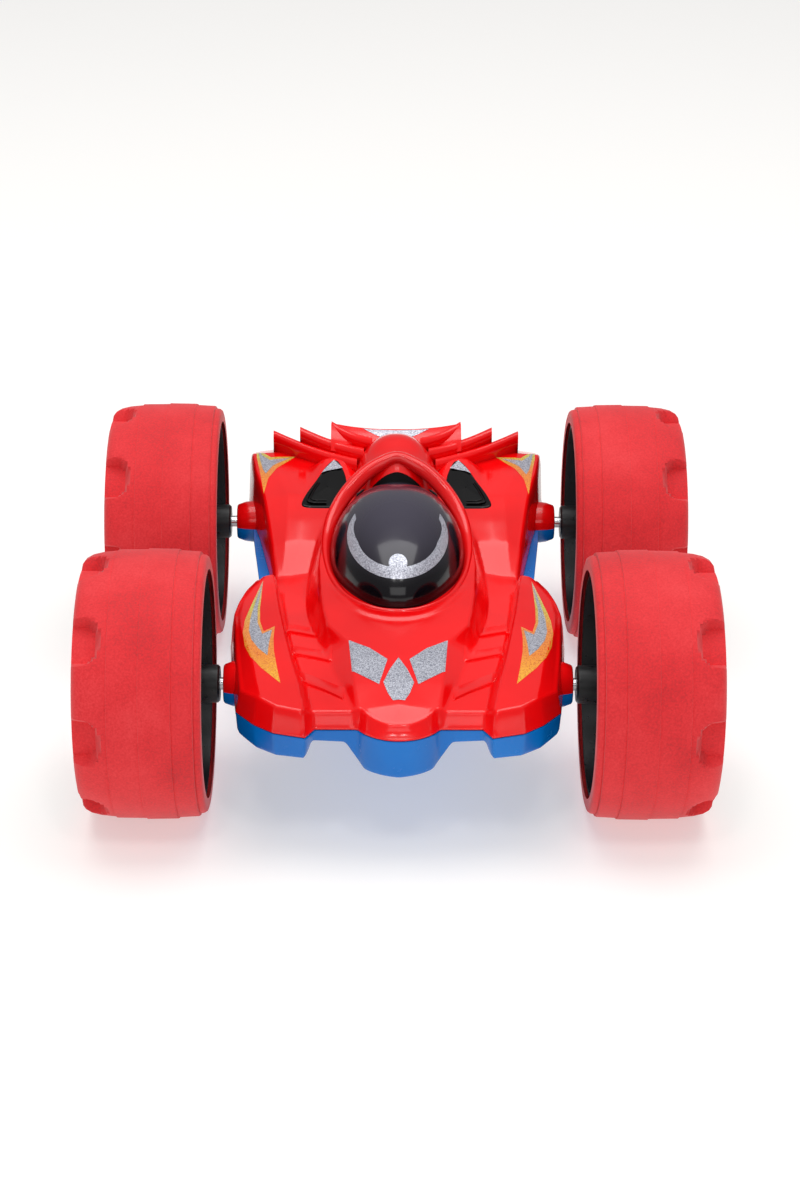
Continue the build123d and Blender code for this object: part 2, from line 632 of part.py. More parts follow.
with BuildPart() as battery_contacts:
    with Locations(*[(x, battery_y + battery_size[1] / 2 + 0.4, 20.0) for x in (-12, 12)]):
        Box(7, 0.8, 9)
    with Locations(*[(x, battery_y + battery_size[1] / 2 + 1.2, 20.0) for x in (-12, 12)]):
        Box(3, 0.8, 4)
save(battery_contacts, "battery_contacts")

with BuildPart() as battery_cover:
    with Locations((0, battery_y, floor_z + 0.2)):
        Box(battery_cover_size[0] - 0.6, battery_cover_size[1] - 0.6, 1.8, align=UPWARDS)
    with Locations((0, battery_y + 14, floor_z + 0.2)):
        Cylinder(1.4, 4, mode=Mode.SUBTRACT)
    with Locations(*[(0, battery_y - 10 + 3 * i, floor_z + 0.2) for i in range(4)]):
        Box(22, 1.0, 0.8, mode=Mode.SUBTRACT)
save(battery_cover, "battery_cover")

with BuildPart() as cover_screw:
    with Locations((0, battery_y + 14, floor_z + 0.2)):
        Cylinder(1.4, 1.8, align=UPWARDS)
    with Locations((0, battery_y + 14, floor_z + 0.2)):
        Box(2.2, 0.5, 1.0, mode=Mode.SUBTRACT)
        Box(0.5, 2.2, 1.0, mode=Mode.SUBTRACT)
save(cover_screw, "battery_cover_screw")

with BuildPart() as circuit_board:
    with Locations((0, battery_y, board_z)):
        Box(*board_size, align=UPWARDS)
save(circuit_board, "circuit_board")

with BuildPart() as control_chips:
    top = board_z + board_size[2]
    for x, y, length, width, height in (
        (-12, -20, 12, 9, 1.8), (8, -22, 6, 6, 1.6), (12, -6, 8, 5, 3.0), (-16, -2, 5, 5, 5.5),
    ):
        with Locations((x, y, top)):
            Box(length, width, height, align=UPWARDS)
save(control_chips, "control_chips")

with BuildPart() as power_switch:
    with Locations((*switch_centre, floor_top)):
        Box(8, 16, 6, align=UPWARDS)
    with Locations((*switch_centre, floor_top)):
        Box(4.2, 5 + switch_travel + 0.4, 2.4, align=UPWARDS, mode=Mode.SUBTRACT)
save(power_switch, "power_switch")

with BuildPart() as switch_knob:
    knob_y = switch_centre[1] - switch_travel / 2
    with Locations((switch_centre[0], knob_y, floor_z - 1.0)):
        Box(3.6, 5, floor_top + 2.1 - floor_z + 1.0, align=UPWARDS)
    for i in (-1.4, 0, 1.4):
        with Locations((switch_centre[0], knob_y + i, floor_z - 1.0)):
            Box(3.6, 0.5, 0.8, mode=Mode.SUBTRACT)
save(switch_knob, "power_switch_knob")

with BuildPart() as charge_socket:
    with Locations((*socket_centre, floor_z)):
        Cylinder(socket_r, floor_top - floor_z, align=UPWARDS)
    with Locations((*socket_centre, floor_top)):
        Box(9, 10, 9.5, align=UPWARDS)
    with Locations((*socket_centre, floor_z)):
        Cylinder(socket_bore_r, socket_bore_length, align=UPWARDS, mode=Mode.SUBTRACT)
save(charge_socket, "charge_socket")

with BuildPart() as shell_screws:
    with Locations(*[(x, y, screw_head_z) for x, y in SHELL_SCREWS]):
        Cylinder(screw_head_r, 1.8, align=DOWNWARDS)
        Cylinder(screw_r, screw_tip_z - screw_head_z, align=UPWARDS)
    with Locations(*[(x, y, screw_head_z - 1.8) for x, y in SHELL_SCREWS]):
        Box(3.4, 0.7, 2.0, mode=Mode.SUBTRACT)
        Box(0.7, 3.4, 2.0, mode=Mode.SUBTRACT)
save(shell_screws, "shell_screws")
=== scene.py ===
"""Looks of a double-sided radio-controlled stunt car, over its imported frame. Shapes are in millimetres."""
import json
from math import cos, pi, radians, sin, sqrt, tau

import bmesh
import bpy
import numpy as np
from mathutils import Matrix, Vector
from mathutils.geometry import delaunay_2d_cdt


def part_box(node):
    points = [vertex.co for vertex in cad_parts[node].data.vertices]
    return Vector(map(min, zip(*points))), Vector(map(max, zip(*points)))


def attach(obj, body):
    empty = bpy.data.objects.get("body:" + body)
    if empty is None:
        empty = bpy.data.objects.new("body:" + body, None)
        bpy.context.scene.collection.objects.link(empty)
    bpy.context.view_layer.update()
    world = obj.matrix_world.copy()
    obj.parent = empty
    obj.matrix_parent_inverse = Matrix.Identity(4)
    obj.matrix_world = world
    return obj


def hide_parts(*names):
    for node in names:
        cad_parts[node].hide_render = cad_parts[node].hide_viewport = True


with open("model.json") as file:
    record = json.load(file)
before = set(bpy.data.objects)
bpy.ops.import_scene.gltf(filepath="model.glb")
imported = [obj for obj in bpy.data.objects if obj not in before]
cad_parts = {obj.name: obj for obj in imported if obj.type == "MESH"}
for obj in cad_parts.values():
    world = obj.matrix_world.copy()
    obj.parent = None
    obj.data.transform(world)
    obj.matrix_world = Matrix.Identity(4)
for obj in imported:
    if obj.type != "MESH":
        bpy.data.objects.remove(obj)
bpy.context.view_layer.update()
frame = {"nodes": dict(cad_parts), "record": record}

MM = 0.001
CHASSIS = "chassis"
SIDES = {"left": -1, "right": 1}

# ------------------------------ sizes shared with the frame
tyre_low, tyre_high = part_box("tyre_front_left")
axle_z = (tyre_high[2] - tyre_low[2]) / 2 / MM
seam_z = axle_z  # the two shells part at axle height
wheel_width = (tyre_high[0] - tyre_low[0]) / MM
tyre_bore_r = 36.0
# Each end of the car: y of its axle line, then x of its wheels' middle and of its bosses' ends.
AXLES = {"front": (-65.0, 79.0, 54.8), "rear": (65.0, 82.0, 57.2)}
boss_inner = 44.0  # where the bosses start, inside the body
boss_root_r = 7.4
boss_tip_r = 6.0
bush_r = 3.2


# ------------------------------ mesh and material helpers
def make_object(name, verts, faces, look, smooth=True, scale=MM):
    """A mesh object from points in millimetres, or in the unit whose length in metres is the scale."""
    mesh = bpy.data.meshes.new(name)
    points = [tuple(float(c) * scale for c in v) for v in verts]
    mesh.from_pydata(points, [], [tuple(int(i) for i in f) for f in faces])
    mesh.validate()
    obj = bpy.data.objects.new(name, mesh)
    bpy.context.scene.collection.objects.link(obj)
    obj.data.materials.append(look)
    for polygon in mesh.polygons:
        polygon.use_smooth = smooth
    return obj


class Mesh:
    """Collects points and faces in millimetres."""

    def __init__(self):
        self.verts = []
        self.faces = []

    def add(self, verts, faces):
        base = len(self.verts)
        self.verts += [tuple(v) for v in verts]
        self.faces += [tuple(base + i for i in f) for f in faces]

    def grid(self, rows, closed=False, flip=False):
        """A sheet of quads through equal rows of points."""
        n = len(rows[0])
        faces = []
        for r in range(len(rows) - 1):
            for c in range(n if closed else n - 1):
                d = (c + 1) % n
                quad = (r * n + c, r * n + d, (r + 1) * n + d, (r + 1) * n + c)
                faces.append(quad[::-1] if flip else quad)
        self.add([p for row in rows for p in row], faces)

    def install(self, name, look, body, slot, replaced, sharp_angle=None, outwards=True):
        """Builds the piece and rides it on its body; shading breaks at edges sharper than the angle."""
        obj = make_object(name, self.verts, self.faces, look)
        if outwards:
            face_outwards(obj)
        if sharp_angle is not None:
            sharp_by_angle(obj, sharp_angle)
        place(obj, body, replaced)


def sharp_by_angle(obj, degrees):
    """Marks the edges sharper than the angle, so that smooth shading breaks there."""
    bm = bmesh.new()
    bm.from_mesh(obj.data)
    for edge in bm.edges:
        if len(edge.link_faces) == 2 and edge.calc_face_angle(0) > radians(degrees):
            edge.smooth = False
    bm.to_mesh(obj.data)
    bm.free()


def face_outwards(obj):
    """Joins the points that coincide and turns all faces outwards."""
    bm = bmesh.new()
    bm.from_mesh(obj.data)
    bmesh.ops.remove_doubles(bm, verts=bm.verts, dist=1e-7)
    bmesh.ops.recalc_face_normals(bm, faces=bm.faces)
    bm.to_mesh(obj.data)
    bm.free()


def place(obj, body, replaced):
    """Rides an object on its body and lets it stand in for a CAD node."""
    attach(obj, body)
    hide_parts(replaced)


def linear(r, g, b):
    """An sRGB colour, 0 to 255, as the linear colour that shaders take."""
    def one(c):
        c /= 255
        return c / 12.92 if c <= 0.04045 else ((c + 0.055) / 1.055) ** 2.4
    return (one(r), one(g), one(b), 1.0)


PLASTIC_IOR = 1.5
NOISE_SPAN = (0.3, 0.7)  # where most of a noise texture's values lie


def material(name, colour, roughness, metallic=0.0, coat=0.0, coat_roughness=0.03, specular=0.5):
    """A plain surface, to which the looks below add their detail."""
    mat = bpy.data.materials.new(name)
    mat.use_nodes = True
    shader = mat.node_tree.nodes["Principled BSDF"]
    shader.inputs["Base Color"].default_value = colour
    shader.inputs["Roughness"].default_value = roughness
    shader.inputs["Metallic"].default_value = metallic
    shader.inputs["Coat Weight"].default_value = coat
    shader.inputs["Coat Roughness"].default_value = coat_roughness
    shader.inputs["IOR"].default_value = PLASTIC_IOR
    shader.inputs["Specular IOR Level"].default_value = specular
    return mat


def noise(mat, scale, detail, roughness=0.5, stretch=(1, 1, 1)):
    """A noise texture in object space; scale is in features per metre."""
    tree = mat.node_tree
    coords = tree.nodes.new("ShaderNodeTexCoord")
    mapping = tree.nodes.new("ShaderNodeMapping")
    mapping.inputs["Scale"].default_value = stretch
    texture = tree.nodes.new("ShaderNodeTexNoise")
    texture.inputs["Scale"].default_value = scale
    texture.inputs["Detail"].default_value = detail
    texture.inputs["Roughness"].default_value = roughness
    tree.links.new(coords.outputs["Object"], mapping.inputs["Vector"])
    tree.links.new(mapping.outputs["Vector"], texture.inputs["Vector"])
    return texture.outputs["Fac"]


def ramp(tree, value, stops):
    """A colour ramp over a node's output, from (position, colour) pairs."""
    node = tree.nodes.new("ShaderNodeValToRGB")
    elements = node.color_ramp.elements
    while len(elements) < len(stops):
        elements.new(0.5)
    for element, (position, colour) in zip(elements, stops):
        element.position = position
        element.color = colour
    tree.links.new(value, node.inputs["Fac"])
    return node.outputs["Color"]


def vary_colour(mat, value, low, high, span=NOISE_SPAN):
    tree = mat.node_tree
    colour = ramp(tree, value, [(span[0], low), (span[1], high)])
    tree.links.new(colour, tree.nodes["Principled BSDF"].inputs["Base Color"])


def vary_roughness(mat, value, low, high):
    tree = mat.node_tree
    grey = ramp(tree, value, [(at, (level, level, level, 1)) for at, level in zip(NOISE_SPAN, (low, high))])
    tree.links.new(grey, tree.nodes["Principled BSDF"].inputs["Roughness"])


def fade_along(mat, axis, low, high):
    """0 to 1 along an axis of the car, between two positions in millimetres."""
    tree = mat.node_tree
    coords = tree.nodes.new("ShaderNodeTexCoord")
    split = tree.nodes.new("ShaderNodeSeparateXYZ")
    fade = tree.nodes.new("ShaderNodeMapRange")
    fade.inputs["From Min"].default_value = low * MM
    fade.inputs["From Max"].default_value = high * MM
    tree.links.new(coords.outputs["Object"], split.inputs[0])
    tree.links.new(split.outputs[axis], fade.inputs["Value"])
    return fade.outputs["Result"]


def weighted(mat, value, weight, rest=None):
    """A node's output times a weight, plus the output of another."""
    tree = mat.node_tree
    node = tree.nodes.new("ShaderNodeMath")
    node.operation = "MULTIPLY" if rest is None else "MULTIPLY_ADD"
    node.inputs[1].default_value = weight
    tree.links.new(value, node.inputs[0])
    if rest is not None:
        tree.links.new(rest, node.inputs[2])
    return node.outputs[0]


def bump(mat, value, height_mm, strength):
    """Adds relief to a material, over any relief it has."""
    tree = mat.node_tree
    shader = tree.nodes["Principled BSDF"]
    node = tree.nodes.new("ShaderNodeBump")
    node.inputs["Strength"].default_value = strength
    node.inputs["Distance"].default_value = height_mm * MM
    tree.links.new(value, node.inputs["Height"])
    if shader.inputs["Normal"].is_linked:
        tree.links.new(shader.inputs["Normal"].links[0].from_socket, node.inputs["Normal"])
    tree.links.new(node.outputs["Normal"], shader.inputs["Normal"])


# ------------------------------ materials
def gloss_plastic(name, low, high, roughness, coat=0.12, specular=0.5):
    """Injection-moulded shell plastic: slight flow variation in the colour and a faint orange peel."""
    mat = material(name, high, roughness, coat=coat, coat_roughness=0.04, specular=specular)
    vary_colour(mat, noise(mat, 22, 3), low, high, (0.35, 0.65))
    vary_roughness(mat, noise(mat, 160, 5), roughness - 0.04, roughness + 0.06)
    bump(mat, noise(mat, 420, 2), 0.02, 0.25)
    return mat


def smoked_plastic_painted_reflection(name, low, high, heights):
    """Dark tinted plastic with a painted reflection: its colour lightens towards the crown, between two
    heights in millimetres.
    """
    mat = material(name, high, 0.14, coat=0.1, coat_roughness=0.04, specular=0.36)
    # The fade by height is a painted reflection of the overhead light; the noise is the plastic's own tone.
    tone_and_painted_reflection = weighted(mat, noise(mat, 22, 3), 0.2, fade_along(mat, "Z", *heights))
    vary_colour(mat, tone_and_painted_reflection, low, high, (0.1, 1.0))
    vary_roughness(mat, noise(mat, 160, 5), 0.1, 0.2)
    bump(mat, noise(mat, 420, 2), 0.02, 0.25)
    return mat


def matt_plastic(name, low, high, roughness):
    """Textured plastic with a fine grain."""
    grain = 2400
    mat = material(name, high, roughness)
    vary_colour(mat, noise(mat, 60, 4), low, high)
    vary_roughness(mat, noise(mat, grain / 4, 3), roughness - 0.1, roughness + 0.1)
    bump(mat, noise(mat, grain, 3), 0.03, 0.5)
    return mat


def metal(name, low, high, roughness):
    """Drawn metal with faint streaks along X."""
    mat = material(name, high, roughness, metallic=1.0)
    streaks = noise(mat, 500, 4, stretch=(0.05, 1, 1))
    vary_colour(mat, streaks, low, high)
    vary_roughness(mat, streaks, roughness - 0.08, roughness + 0.12)
    bump(mat, streaks, 0.01, 0.3)
    return mat


def foam_rubber(name):
    """Soft matt tyre rubber: cloudy, with fine pits; the colour follows them, darker in the pits and paler on
    the grain between.
    """
    mat = material(name, linear(224, 40, 46), 0.72, specular=0.35)
    tree = mat.node_tree
    shader = tree.nodes["Principled BSDF"]
    fine = noise(mat, 1500, 4, 0.6)
    mix = weighted(mat, fine, 0.55, weighted(mat, noise(mat, 45, 5, 0.6), 0.45))
    stops = [(0.3, linear(188, 26, 34)), (0.5, linear(222, 38, 44)), (0.72, linear(236, 66, 70))]
    tree.links.new(ramp(tree, mix, stops), shader.inputs["Base Color"])
    vary_roughness(mat, fine, 0.62, 0.85)
    bump(mat, fine, 0.10, 0.55)
    bump(mat, noise(mat, 320, 4, 0.7), 0.16, 0.35)
    shader.inputs["Sheen Weight"].default_value = 0.15
    shader.inputs["Sheen Roughness"].default_value = 0.5
    return mat


def silver_print(name):
    """Metallic ink with fine dark specks."""
    mat = material(name, linear(172, 174, 186), 0.36, metallic=0.35, coat=0.35, coat_roughness=0.08)
    vary_colour(mat, noise(mat, 2400, 2), linear(126, 128, 142), linear(206, 208, 218), (0.38, 0.6))
    vary_roughness(mat, noise(mat, 900, 3), 0.28, 0.45)
    bump(mat, noise(mat, 3800, 2), 0.012, 0.4)
    return mat


def flame_print(name, low_y, high_y):
    """A printed fade along Y through yellows, oranges and a pale green, with halftone specks."""
    mat = material(name, linear(240, 170, 40), 0.3, coat=0.5, coat_roughness=0.06)
    tree = mat.node_tree
    fade = ramp(tree, fade_along(mat, "Y", low_y, high_y), [
        (0.0, linear(250, 190, 40)), (0.25, linear(245, 150, 45)), (0.5, linear(240, 150, 60)),
        (0.75, linear(205, 205, 90)), (1.0, linear(225, 190, 150)),
    ])
    speckle = ramp(tree, noise(mat, 2600, 1), [(0.42, linear(205, 70, 40)), (0.5, linear(255, 255, 255))])
    blend = tree.nodes.new("ShaderNodeMixRGB")
    blend.blend_type = "MULTIPLY"
    blend.inputs["Fac"].default_value = 0.6
    tree.links.new(fade, blend.inputs["Color1"])
    tree.links.new(speckle, blend.inputs["Color2"])
    tree.links.new(blend.outputs["Color"], tree.nodes["Principled BSDF"].inputs["Base Color"])
    vary_roughness(mat, noise(mat, 900, 3), 0.24, 0.4)
    return mat


RED = gloss_plastic("red_gloss", linear(228, 5, 9), linear(250, 11, 15), 0.15, 0.15, 0.42)
BLUE = gloss_plastic("blue_gloss", linear(2, 104, 190), linear(6, 120, 208), 0.22, 0.05, 0.3)
BLACK_GLOSS = gloss_plastic("black_gloss", linear(2, 2, 2), linear(7, 7, 8), 0.08, 0.0, 0.2)
RIM_BLACK = matt_plastic("rim_black", linear(12, 12, 13), linear(30, 30, 32), 0.36)
BLACK_MATT = matt_plastic("black_matt", linear(14, 14, 15), linear(34, 34, 36), 0.55)
# The canopy's colour is painted paler from 66 mm up to 81 mm, a painted reflection on its crown.
SMOKED_PAINTED_REFLECTION = smoked_plastic_painted_reflection("smoked_canopy_painted_reflection", linear(11, 9, 14), linear(62, 58, 72), (66, 81))
TYRE = foam_rubber("tyre_red")
STEEL = metal("steel", linear(150, 150, 152), linear(215, 215, 218), 0.2)
DARK_STEEL = metal("screw_steel", linear(60, 60, 64), linear(110, 110, 114), 0.3)
BRASS = metal("brass", linear(170, 130, 62), linear(214, 176, 96), 0.28)
NYLON = matt_plastic("gear_nylon", linear(205, 203, 194), linear(232, 230, 222), 0.45)
WRAP = gloss_plastic("battery_wrap", linear(20, 80, 40), linear(34, 110, 58), 0.3)
BOARD = matt_plastic("board_green", linear(10, 62, 34), linear(22, 92, 50), 0.35)
SILVER = silver_print("silver_print")
FLAME_FRONT = flame_print("flame_front", -84, -20)
FLAME_REAR = flame_print("flame_rear", 46, 88)

SLOT_LOOKS = {
    "red_gloss": RED, "blue_gloss": BLUE, "smoked": SMOKED_PAINTED_REFLECTION, "black_matt": BLACK_MATT,
    "black_gloss": RIM_BLACK, "gear_nylon": NYLON, "steel": STEEL, "brass": BRASS, "motor_can": STEEL,
    "tyre_red": TYRE, "screw_steel": DARK_STEEL, "battery_wrap": WRAP, "board_green": BOARD,
}
slot_of = {part["node"]: part["material_slot"] for part in frame["record"]["subparts"]}
for node_name, node in frame["nodes"].items():
    node.data.materials.clear()
    node.data.materials.append(SLOT_LOOKS[slot_of[node_name]])

# ------------------------------ body outlines, seen from above
nose_length, nose_half, nose_depth = 103.6, 12.4, 7.1
nose_arc_r = (nose_half**2 + nose_depth**2) / (2 * nose_depth)
FRONT_LINE = [(12.4, -96.5), (13.2, -96.2), (25.5, -96.2), (28.3, -101.7), (38.1, -98.6), (44.3, -93.2),
              (50.1, -85.0)]
REAR_LINE = [(0, 101.3), (20, 101.0), (44, 99.5), (50, 95.3), (51.5, 94.0)]
# The flanks: (y, x). The two shells differ only at the waist.
FRONT_FLANK = [(-85, 50.1), (-65, 52.2), (-38, 54.2), (-22, 51.5)]
REAR_FLANK = [(65, 51.8), (85, 54.2), (94, 52.6)]
UPPER_WAIST = FRONT_FLANK + [(-4, 46.0), (9.6, 42.6), (48, 48.4)] + REAR_FLANK
LOWER_WAIST = FRONT_FLANK + [(-4, 46.8), (9.6, 46.8), (48, 50.6)] + REAR_FLANK
front_half, rear_half = 50.1, 51.5  # half widths where the flanks meet the front and rear lines


def inset_curve(base, at, distance, outward):
    """A boundary function moved inwards by a true distance: the envelope of discs along it."""
    if distance <= 0:
        return base(at)
    shifts = np.linspace(-distance, distance, 25)
    reach = np.sqrt(np.maximum(distance**2 - shifts**2, 0))
    values = np.array([base(at + s) - outward * r for s, r in zip(shifts, reach)])
    return values.min(axis=0) if outward > 0 else values.max(axis=0)


def front_y(x):
    """The front edge of the body: a round nose between the two teeth on each side."""
    x = np.abs(x)
    rise = np.sqrt(np.maximum(nose_arc_r**2 - np.minimum(x, nose_half) ** 2, 0))
    nose = -nose_length + nose_arc_r - rise
    xs, ys = zip(*FRONT_LINE)
    return np.where(x < nose_half, nose, np.interp(x, xs, ys))


def rear_y(x):
    """The rear edge of the body."""
    xs, ys = zip(*REAR_LINE)
    return np.interp(np.abs(x), xs, ys)


def soften(values, step, sigma):
    """A Gaussian blur along the first axis, for evenly spaced samples."""
    n = int(3 * sigma / step) + 1
    kernel = np.exp(-0.5 * (np.arange(-n, n + 1) * step / sigma) ** 2)
    kernel /= kernel.sum()
    padded = np.concatenate([np.repeat(values[:1], n, 0), values, np.repeat(values[-1:], n, 0)])
    return sum(k * padded[i:i + len(values)] for i, k in enumerate(kernel))


CELL = 0.5  # spacing of the sampled outlines and heights
waist_ys = np.arange(-110.0, 110.0, CELL)


def waist_curve(table):
    """The half width along the body, through the table's points with their corners rounded."""
    ys, xs = zip(*table)
    smooth = soften(np.interp(waist_ys, ys, xs), CELL, 1.6)
    return lambda y: np.interp(y, waist_ys, smooth)


# ------------------------------ height of the skins over the plan
# Stations from nose to tail, by y. Each holds (x, z) on the lines that run along the body: middle, hood edge,
# hood foot, valley edge, ridge on the fender's inside, crest on its outside, side.
UPPER = {
    -106.0: [(0, 44.6), (12, 45.4), (13, 47.0), (25.5, 47.6), (28, 50.2), (38, 50.2), (60, 43.0)],
    -96.0: [(0, 51.0), (12.2, 49.0), (13.6, 48.0), (26, 48.0), (29.3, 51.4), (41, 51.6), (60, 44.0)],
    -84.0: [(0, 53.4), (13.6, 52.2), (16.6, 49.2), (28, 49.2), (31, 53.0), (43.4, 52.8), (60, 43.0)],
    -72.0: [(0, 55.0), (14.4, 54.0), (19.8, 49.4), (30.4, 49.4), (33.2, 54.4), (45.2, 54.0), (60, 42.5)],
    -60.0: [(0, 56.0), (15.5, 55.2), (22.4, 49.6), (32.4, 49.2), (35.0, 55.0), (48, 54.8), (60, 43.0)],
    -50.0: [(0, 56.8), (22.6, 56.2), (25.0, 49.2), (34.0, 48.8), (36.4, 55.4), (50.0, 55.2), (60, 44.0)],
    -40.0: [(0, 57.4), (24.0, 57.2), (27.0, 48.8), (35.4, 48.2), (37.8, 56.2), (50.4, 55.8), (60, 45.0)],
    -30.0: [(0, 58.0), (25.0, 58.2), (28.6, 48.2), (36.4, 47.6), (39.0, 56.6), (50.2, 55.6), (60, 45.0)],
    -20.0: [(0, 58.2), (25.5, 58.8), (29.6, 47.6), (37.4, 47.0), (40.0, 57.0), (47.6, 55.6), (60, 43.4)],
    -11.0: [(0, 58.6), (26, 59.2), (30.0, 47.2), (38.2, 46.6), (41, 56.4), (43.6, 55.8), (60, 43.0)],
    -6.0: [(0, 58.8), (26, 59.4), (30.0, 47.0), (38, 46.4), (40.4, 46.6), (43.6, 46.6), (60, 43.0)],
    8.0: [(0, 59.2), (25.4, 60.0), (29.6, 47.4), (35.6, 46.4), (38.4, 46.2), (41, 45.6), (60, 43.2)],
    19.0: [(0, 59.6), (24, 60.2), (27.4, 54.6), (33, 54.0), (38, 54.0), (43, 51.8), (60, 44.6)],
    30.0: [(0, 60.8), (20, 60.6), (24.6, 58.2), (33, 58.4), (38, 57.8), (46.0, 54.6), (60, 47.0)],
    44.0: [(0, 62.4), (18, 62.0), (22, 61.6), (33, 61.8), (38.0, 61.6), (48.0, 59.0), (60, 52.0)],
    60.0: [(0, 64.0), (16, 63.6), (20, 62.6), (34, 62.4), (42, 62.8), (51, 61.4), (60, 55.0)],
    80.0: [(0, 68.0), (16, 67.0), (22, 64.8), (34, 63.4), (44, 63.4), (52, 62.8), (60, 58.0)],
    104.0: [(0, 58.0), (16, 58.0), (22, 57.4), (34, 56.8), (44, 55.6), (50, 54.6), (60, 52.0)],
}
LOWER = {
    -106.0: [(0, 30.0), (10, 30.8), (15.2, 38.4), (26.4, 38.8), (27.2, 35.0), (40, 34.6), (60, 34.8)],
    -96.0: [(0, 28.4), (10.5, 29.4), (15.8, 38.0), (26.6, 38.4), (27.4, 34.8), (42, 34.2), (60, 34.8)],
    -80.0: [(0, 22.0), (11.5, 23.6), (18.5, 34.4), (28, 36.2), (31, 33.6), (45, 34.0), (60, 37.4)],
    -50.0: [(0, 13.0), (17, 15.5), (31, 28.0), (34, 33.6), (37, 31.4), (48, 32.6), (60, 38.0)],
    -34.0: [(0, 9.0), (31, 9.1), (34, 26.0), (36, 33.4), (38.5, 31.4), (49, 33.0), (60, 38.4)],
    -8.0: [(0, 9.0), (31, 9.1), (34, 26.0), (38, 35.4), (41, 36.2), (43, 37.2), (60, 39.6)],
    20.0: [(0, 9.0), (33, 9.1), (36, 24.0), (39, 32.0), (42, 35.4), (44, 36.8), (60, 39.2)],
    34.0: [(0, 9.0), (36, 9.1), (38.8, 24.0), (41, 31.0), (43.6, 34.8), (46, 36.6), (60, 39.0)],
    60.0: [(0, 12.0), (36, 13.0), (38.8, 24.6), (41.4, 28.6), (44, 30.6), (48.6, 32.6), (60, 37.0)],
    84.0: [(0, 20.0), (34, 21.0), (37.4, 26.6), (41.2, 29.6), (44.4, 31.0), (49, 33.4), (60, 37.4)],
    104.0: [(0, 33.0), (26, 33.4), (32, 34.2), (38, 35.2), (42, 35.7), (47, 36.4), (60, 38.4)],
}
raster_x = np.arange(0.0, 60.5, CELL)
raster_y = np.arange(-108.0, 106.0, CELL)

canopy_rise = 19.6
canopy_y, canopy_z, canopy_r, canopy_half = -2.0, 59.6, 22.4, 40.6


def bands(stations):
    """The x and z of every line at each raster row, smoothed along the body."""
    ys = np.array(sorted(stations))
    points = np.array([stations[y] for y in ys])
    return np.array([[soften(np.interp(raster_y, ys, points[:, i, k]), CELL, 0.9) for k in (0, 1)]
                     for i in range(points.shape[1])])


brow_height, brow_width, brow_length = 0.7, 4.0, 5.5  # its reach beyond the canopy, across and along the car
brow_end, brow_fade = -24, 10  # y where it has died out, and over what length
brow_crease = 0.012  # how abruptly it drops at its edge, as a share of its radius
pod_height, pod_x, pod_half_width = 4.2, 22.4, 8
pod_start, pod_rise, pod_end, pod_fall = 42, 20, 70, 5  # along the car: its ends and the length of its slopes


def brow():
    """A raised band round the front of the canopy that ends in a crease."""
    dx = raster_x[None, :] / (canopy_r + brow_width)
    dy = (raster_y[:, None] - canopy_y) / (canopy_half + brow_length)
    away = np.sqrt(dx**2 + dy**2)
    front = np.clip((brow_end - raster_y[:, None]) / brow_fade, 0, 1)
    return brow_height * front * np.clip(1 - (away - 1.0) / brow_crease, 0, 1)


def pods():
    """The low fairings that lift the two intakes towards their rear corners."""
    rise = np.clip((raster_y[:, None] - pod_start) / pod_rise, 0, 1)
    along = rise * np.clip((pod_end - raster_y[:, None]) / pod_fall, 0, 1)
    across = np.clip(1.25 - np.abs(raster_x[None, :] - pod_x) / pod_half_width, 0, 1)
    return pod_height * along * across**2 * (3 - 2 * across)


def raster(stations, extra, blur):
    """The skin's height on a grid over the right half of the plan, with its creases softened."""
    lines = bands(stations)
    heights = np.array([np.interp(raster_x, lines[:, 0, r], lines[:, 1, r]) for r in range(len(raster_y))])
    heights = soften(heights + extra, CELL, blur)
    mirrored = np.concatenate([heights[:, :0:-1], heights], axis=1)
    return soften(mirrored.T, CELL, blur).T[:, len(raster_x) - 1:]


def sample(heights, x, y):
    """Bilinear height at plan points, mirrored about the middle plane."""
    fx = np.clip(np.abs(x) / CELL, 0, len(raster_x) - 1.001)
    fy = np.clip((y - raster_y[0]) / CELL, 0, len(raster_y) - 1.001)
    ix, iy = fx.astype(int), fy.astype(int)
    tx, ty = fx - ix, fy - iy
    low = heights[iy, ix] * (1 - tx) + heights[iy, ix + 1] * tx
    high = heights[iy + 1, ix] * (1 - tx) + heights[iy + 1, ix + 1] * tx
    return low * (1 - ty) + high * ty


top_heights = raster(UPPER, brow() + pods(), 0.3)
floor_heights = raster(LOWER, 0.0, 0.5)


def top_z(x, y):
    """Height of the red skin."""
    return sample(top_heights, np.asarray(x, float), np.asarray(y, float))


# ------------------------------ shells over the outline
class Plan:
    """Maps (u, v) to the plan of a shell; u runs from -1 to 1 across it and v from 0 to 1 along it."""

    def __init__(self, waist):
        self.waist = waist_curve(waist)

    def points(self, u, v, inset):
        blunt = front_half - inset
        start = inset_curve(front_y, u * blunt, inset, -1)
        stop = inset_curve(rear_y, u * (rear_half - inset), inset, 1)
        y = start + (stop - start) * v
        corner = inset_curve(front_y, np.array([blunt]), inset, -1)[0]
        width = inset_curve(self.waist, np.maximum(y, corner), inset, 1)
        return u * np.where(y <= corner, blunt, width), y

    def sheet(self, across, along, inset):
        u, v = np.meshgrid(np.linspace(-1, 1, across), np.linspace(0, 1, along))
        x, y = self.points(u.ravel(), v.ravel(), inset)
        return x.reshape(along, across), y.reshape(along, across)

    def ring(self, across, along, inset):
        """The sheet's border, once round, in the same order as its outermost points."""
        rightwards, leftwards = np.linspace(-1, 1, across), np.linspace(1, -1, across)[1:]
        backwards, forwards = np.linspace(0, 1, along)[1:], np.linspace(1, 0, along)[1:-1]
        u = np.concatenate([rightwards, np.ones(along - 1), leftwards, -np.ones(along - 2)])
        v = np.concatenate([np.zeros(across), backwards, np.ones(across - 1), forwards])
        return self.points(u, v, inset)


ACROSS, ALONG = 181, 341


